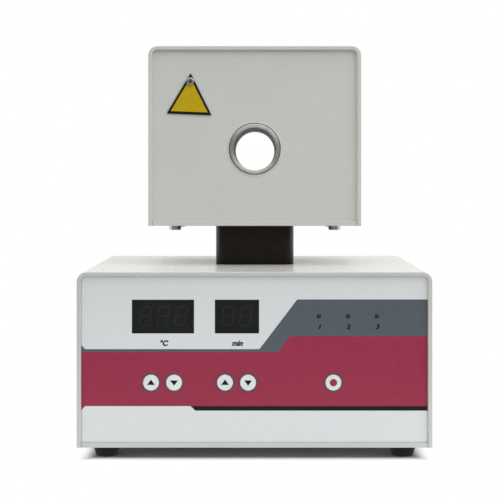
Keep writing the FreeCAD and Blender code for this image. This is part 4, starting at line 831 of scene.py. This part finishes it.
# %% Paint a bar and a ring on the rocker
MARK_HEIGHT = 0.03
RING_MARK_INNER, RING_MARK_OUTER = 1.3, 1.9
BAR_WIDTH, BAR_LENGTH = 0.7, 4.2
rocker = merged_copy("power_rocker")
to_back = [face for face in rocker.faces if face.normal.y > 0.9]
largest = sorted(to_back, key=lambda face: face.calc_area())[-2:]
places = []
for half in sorted(largest, key=lambda face: face.calc_center_median().x):
    turned_up = half.normal.to_track_quat("Z", "Y").to_matrix().to_4x4()
    places.append(Matrix.Translation(half.calc_center_median()) @ turned_up)
rocker.free()
off_place, on_place = places
ring_section = [
    (RING_MARK_INNER, 0), (RING_MARK_INNER, MARK_HEIGHT),
    (RING_MARK_OUTER, MARK_HEIGHT), (RING_MARK_OUTER, 0),
]
bar_sizes = Vector((BAR_WIDTH, BAR_LENGTH, 2 * MARK_HEIGHT)) * MM
bm = bmesh.new()
spun_ring(bm, ring_section, off_place)
bmesh.ops.create_cube(bm, size=1.0, matrix=on_place @ Matrix.Diagonal((*bar_sizes, 1.0)))
weld(bm)
bmesh.ops.recalc_face_normals(bm, faces=bm.faces)
finish_piece(bm, "rocker_marks", [keys], "power_rocker")

# %% [markdown]
# ## The triangular plate
#
# A small enamelled triangle hangs on one screw, yellow inside a black border. The border is the
# plate's own outline, shrunk towards its middle, so its corners are found on the CAD part: they are
# its highest point and its points farthest to the left and to the right. The field inside is plain.

# %% Print the plate
FIELD_SHARE = 0.84
PLATE_EASE = 0.12
bm = merged_copy("triangle_plate")
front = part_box("triangle_plate")[0].y
rim = [v.co.copy() for v in bm.verts if abs(v.co.y - front) < 0.01 * MM]
top = max(rim, key=lambda point: point.z)
lower_left = min(rim, key=lambda point: point.x)
lower_right = max(rim, key=lambda point: point.x)
middle = (top + lower_left + lower_right) / 3
field = [middle + (corner - middle) * FIELD_SHARE for corner in (lower_left, lower_right, top)]
area = print_area(bm, [(point.x / MM, point.z / MM) for point in field], 1)
ease_edges(bm, PLATE_EASE, 2, lambda point: point.y < front / MM + 0.01)
paints = [black_ink, yellow_paint]
finish_piece(bm, "enamel_plate", paints, "heater", ["triangle_plate"])
print("  yellow field", area, "square mm")

# %% Round the head of its screw
HEAD_EASE = 1.1
low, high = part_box("plate_screw")
head_centre = (low + high) / 2
head_radius = (high.x - low.x) / 2


def share_of_head(point):
    """How far a point in metres lies from the head's axis, as a share of the head's radius."""
    return math.hypot(point.x - head_centre.x, point.z - head_centre.z) / head_radius


def on_head_rim(point):
    """True for points in millimetres on the outer edge of the head's face."""
    return point.y < low.y / MM + 0.05 and share_of_head(point * MM) > 0.8


bm = merged_copy("plate_screw")
# Faces in the cross recess take the darker core steel, as painted shade.
for face in bm.faces:
    spot = face.calc_center_median()
    recess_in_painted_shade = spot.y > low.y + 0.02 * MM and share_of_head(spot) < 0.7
    face.material_index = int(recess_in_painted_shade)
print("rim edges:", ease_edges(bm, HEAD_EASE, 5, on_head_rim))
finish_piece(bm, "domed_screw", [screws, core_steel], "heater", ["plate_screw"])

# %% [markdown]
# ## Captions
#
# The displays carry the plain units of what they show, and the lamps carry plain numbers.
# A text object is the quick way to a letter's outline.
# It is made a mesh first, and then turned to the front and laid on the film.


# %% Lay units and numbers on the film
INK_HALF = 0.01
STROKE_GAIN = 0.26


def caption(name, words, x, z, height):
    """A flat slanted black caption on the film, centred at x and z."""
    curve = bpy.data.curves.new(name, "FONT")
    curve.body = words
    curve.size = height * MM
    curve.shear = 0.25
    curve.offset = STROKE_GAIN * MM
    curve.extrude = INK_HALF * MM
    curve.align_x = "CENTER"
    curve.align_y = "CENTER"
    writing = bpy.data.objects.new(name, curve)
    bpy.context.scene.collection.objects.link(writing)
    bpy.context.view_layer.update()
    mesh = bpy.data.meshes.new_from_object(writing)
    bpy.data.objects.remove(writing)
    bm = bmesh.new()
    bm.from_mesh(mesh)
    weld(bm)
    spot = Vector((x, film_face - INK_HALF - 0.001, z))
    bmesh.ops.transform(bm, matrix=Matrix.Translation(spot * MM) @ TO_FRONT, verts=bm.verts)
    finish_piece(bm, name, [black_ink])


UNIT_ROW, UNIT_SIZE = 83.1, 5.2
NUMBER_ROW, NUMBER_SIZE = 94.8, 4.4
FIRST_LAMP, LAMP_PITCH = 45.9, 20.5
caption("unit_of_temperature", "°C", x=-64.5, z=UNIT_ROW, height=UNIT_SIZE)
caption("unit_of_time", "min", x=-12.2, z=UNIT_ROW, height=UNIT_SIZE)
for number in (1, 2, 3):
    x = FIRST_LAMP + LAMP_PITCH * (number - 1)
    caption(f"lamp_number_{number}", str(number), x, NUMBER_ROW, NUMBER_SIZE)

# %% [markdown]
# ## Floor, light and background
#
# The photograph is a plain product picture: white all round, with a tight shadow under the case.
# The floor is pale and turns into pure white away from the object, so no horizon shows.
# What lights the object is apart from what the camera sees: the floor gives its light back like pale
# paint near the object and hardly at all beyond 0.6 m, where the real table ended. A mirror sees it
# light under the object and dim towards the front. From below, the floor is clear.

# %% The floor
bm = bmesh.new()
bmesh.ops.create_grid(bm, x_segments=1, y_segments=1, size=6.0)
floor_mesh = bpy.data.meshes.new("floor")
bm.to_mesh(floor_mesh)
bm.free()
floor = bpy.data.objects.new("floor", floor_mesh)
bpy.context.scene.collection.objects.link(floor)
ground = Finish("pale floor", WHITE, 0.9)
tree = ground.tree
spot = ground.add("ShaderNodeSeparateXYZ", {"Vector": ground.place}).outputs
print("Floor laid")

# %% What the camera sees of the floor
# A rectangle of shade lies under the case, and fades out over this range about its edge, in metres.
SHADE_HALF_WIDTH, SHADE_HALF_DEPTH = 0.120, 0.076
SHADE_FADE = (-0.007, 0.006)
GREY = (0.42, 0.42, 0.42, 1.0)
side = ground.maths("SUBTRACT", ground.maths("ABSOLUTE", spot["X"]), SHADE_HALF_WIDTH)
front = ground.maths("SUBTRACT", ground.maths("ABSOLUTE", spot["Y"]), SHADE_HALF_DEPTH)
edge = ground.maths("MAXIMUM", side, front)
fade = spread(tree, edge, SHADE_FADE, interpolation_type="SMOOTHSTEP")
shaded = ground.add("ShaderNodeBsdfDiffuse", {"Color": GREY}).outputs[0]
white = ground.add("ShaderNodeEmission", {"Color": WHITE, "Strength": 1.0}).outputs[0]
shown = mixed(tree, fade, shaded, white)
print("Shade under the object ready")

# %% What the floor gives to the object
# Each spread goes from metres on the floor to the share of light that it gives back there.
away = ground.add("ShaderNodeVectorMath", {0: ground.place}, operation="LENGTH").outputs["Value"]
table = spread(tree, away, (0.3, 0.6), (0.92, 0.08))
lighting = ground.add("ShaderNodeBsdfDiffuse", {"Color": table}).outputs[0]
far = spread(tree, spot["Y"], (-0.45, -0.05), (0.12, 0.9))
mirrored = ground.add("ShaderNodeEmission", {"Strength": far}).outputs[0]
rays = ground.add("ShaderNodeLightPath").outputs
seen = ground.maths("MAXIMUM", rays["Is Camera Ray"], rays["Is Transmission Ray"])
whole = mixed(tree, seen, mixed(tree, rays["Is Glossy Ray"], lighting, mirrored), shown)
below = ground.add("ShaderNodeNewGeometry").outputs["Backfacing"]
clear = ground.add("ShaderNodeBsdfTransparent").outputs[0]
one_sided = mixed(tree, below, whole, clear)
tree.links.new(one_sided, tree.nodes["Material Output"].inputs["Surface"])
floor_mesh.materials.append(ground.material)
print("Floor ready")

# %% [markdown]
# ## Studio light
#
# In the picture the tops are lighter than the fronts, and the shadow of the upper box on the case is
# weak. That is a studio where light comes from every side and most from above. A few lamps alone
# would leave dark shadows, so the world itself is the softbox: it gets brighter towards its top.
# A weak lamp overhead and a stronger one on the right give the shadows their side.
# Mirrors show the white backdrop behind the object, a bright softbox high above it, and the dimmer
# room in front of it, which is what keeps the black plastic and the smoked panes dark.

# %% The world as a softbox
world = bpy.data.worlds.new("white studio")
bpy.context.scene.world = world
world.use_nodes = True
studio = world.node_tree


def larger(first, second):
    """The larger of two values, as a node of the world."""
    return add_node(studio, "ShaderNodeMath", {0: first, 1: second}, operation="MAXIMUM").outputs[0]


def background(strength):
    """A white background of the given strength."""
    inputs = {"Color": WHITE, "Strength": strength}
    return add_node(studio, "ShaderNodeBackground", inputs).outputs[0]


# The way that a ray takes has parts from -1 to 1; each spread turns one into a strength of light.
way = add_node(studio, "ShaderNodeTexCoord").outputs["Generated"]
sides = add_node(studio, "ShaderNodeSeparateXYZ", {"Vector": way}).outputs
rise = spread(studio, sides["Z"], (0.0, 1.0), (0.52, 1.22))
room = spread(studio, sides["Y"], (-0.7, 0.9), (0.2, 0.9))
above = spread(studio, sides["Z"], (0.35, 0.75), (0.0, 2.6))
rays = add_node(studio, "ShaderNodeLightPath").outputs
lit = mixed(studio, rays["Is Glossy Ray"], background(rise), background(larger(room, above)))
through = larger(rays["Is Camera Ray"], rays["Is Transmission Ray"])
whole = mixed(studio, through, lit, background(1.0))
studio.links.new(whole, studio.nodes["World Output"].inputs["Surface"])
print("World nodes:", len(studio.nodes))


# %% Two soft lamps
def soft_lamp(name, place, target, size, power):
    """A square area lamp that looks at a target, with its size in metres and its power in watts."""
    lamp = bpy.data.lights.new(name, "AREA")
    lamp.shape = "SQUARE"
    lamp.size = size
    lamp.energy = power
    holder = bpy.data.objects.new(name, lamp)
    bpy.context.scene.collection.objects.link(holder)
    holder.location = place
    holder.rotation_euler = (Vector(target) - Vector(place)).to_track_quat("-Z", "Y").to_euler()


object_middle = (0, 0, 0.15)
soft_lamp("overhead softbox", place=(0.1, -0.3, 1.6), target=object_middle, size=1.2, power=3.2)
soft_lamp("right softbox", place=(1.15, -0.7, 1.05), target=object_middle, size=0.9, power=5.7)

# %% [markdown]
# ## Camera
#
# The photograph was taken from straight in front, about 85 cm away, level, at the height of the
# heater box's lower part. The level camera keeps the uprights upright, so the picture is moved up by
# the lens shift and not by tilting the camera.

# %% The camera
SIDEWAYS, DISTANCE, EYE_HEIGHT = 0.00254, 0.931, 0.2025
lens = bpy.data.cameras.new("camera")
lens.lens = 86.4
lens.sensor_width = 36
lens.shift_x = -0.0162
lens.shift_y = -0.151
camera = bpy.data.objects.new("camera", lens)
bpy.context.scene.collection.objects.link(camera)
camera.location = (SIDEWAYS, -DISTANCE, EYE_HEIGHT)
camera.rotation_euler = (math.radians(90), 0, 0)
bpy.context.scene.camera = camera
bpy.context.scene.view_settings.view_transform = "Standard"
print("Camera at", [round(n, 3) for n in camera.location], "lens", lens.lens)
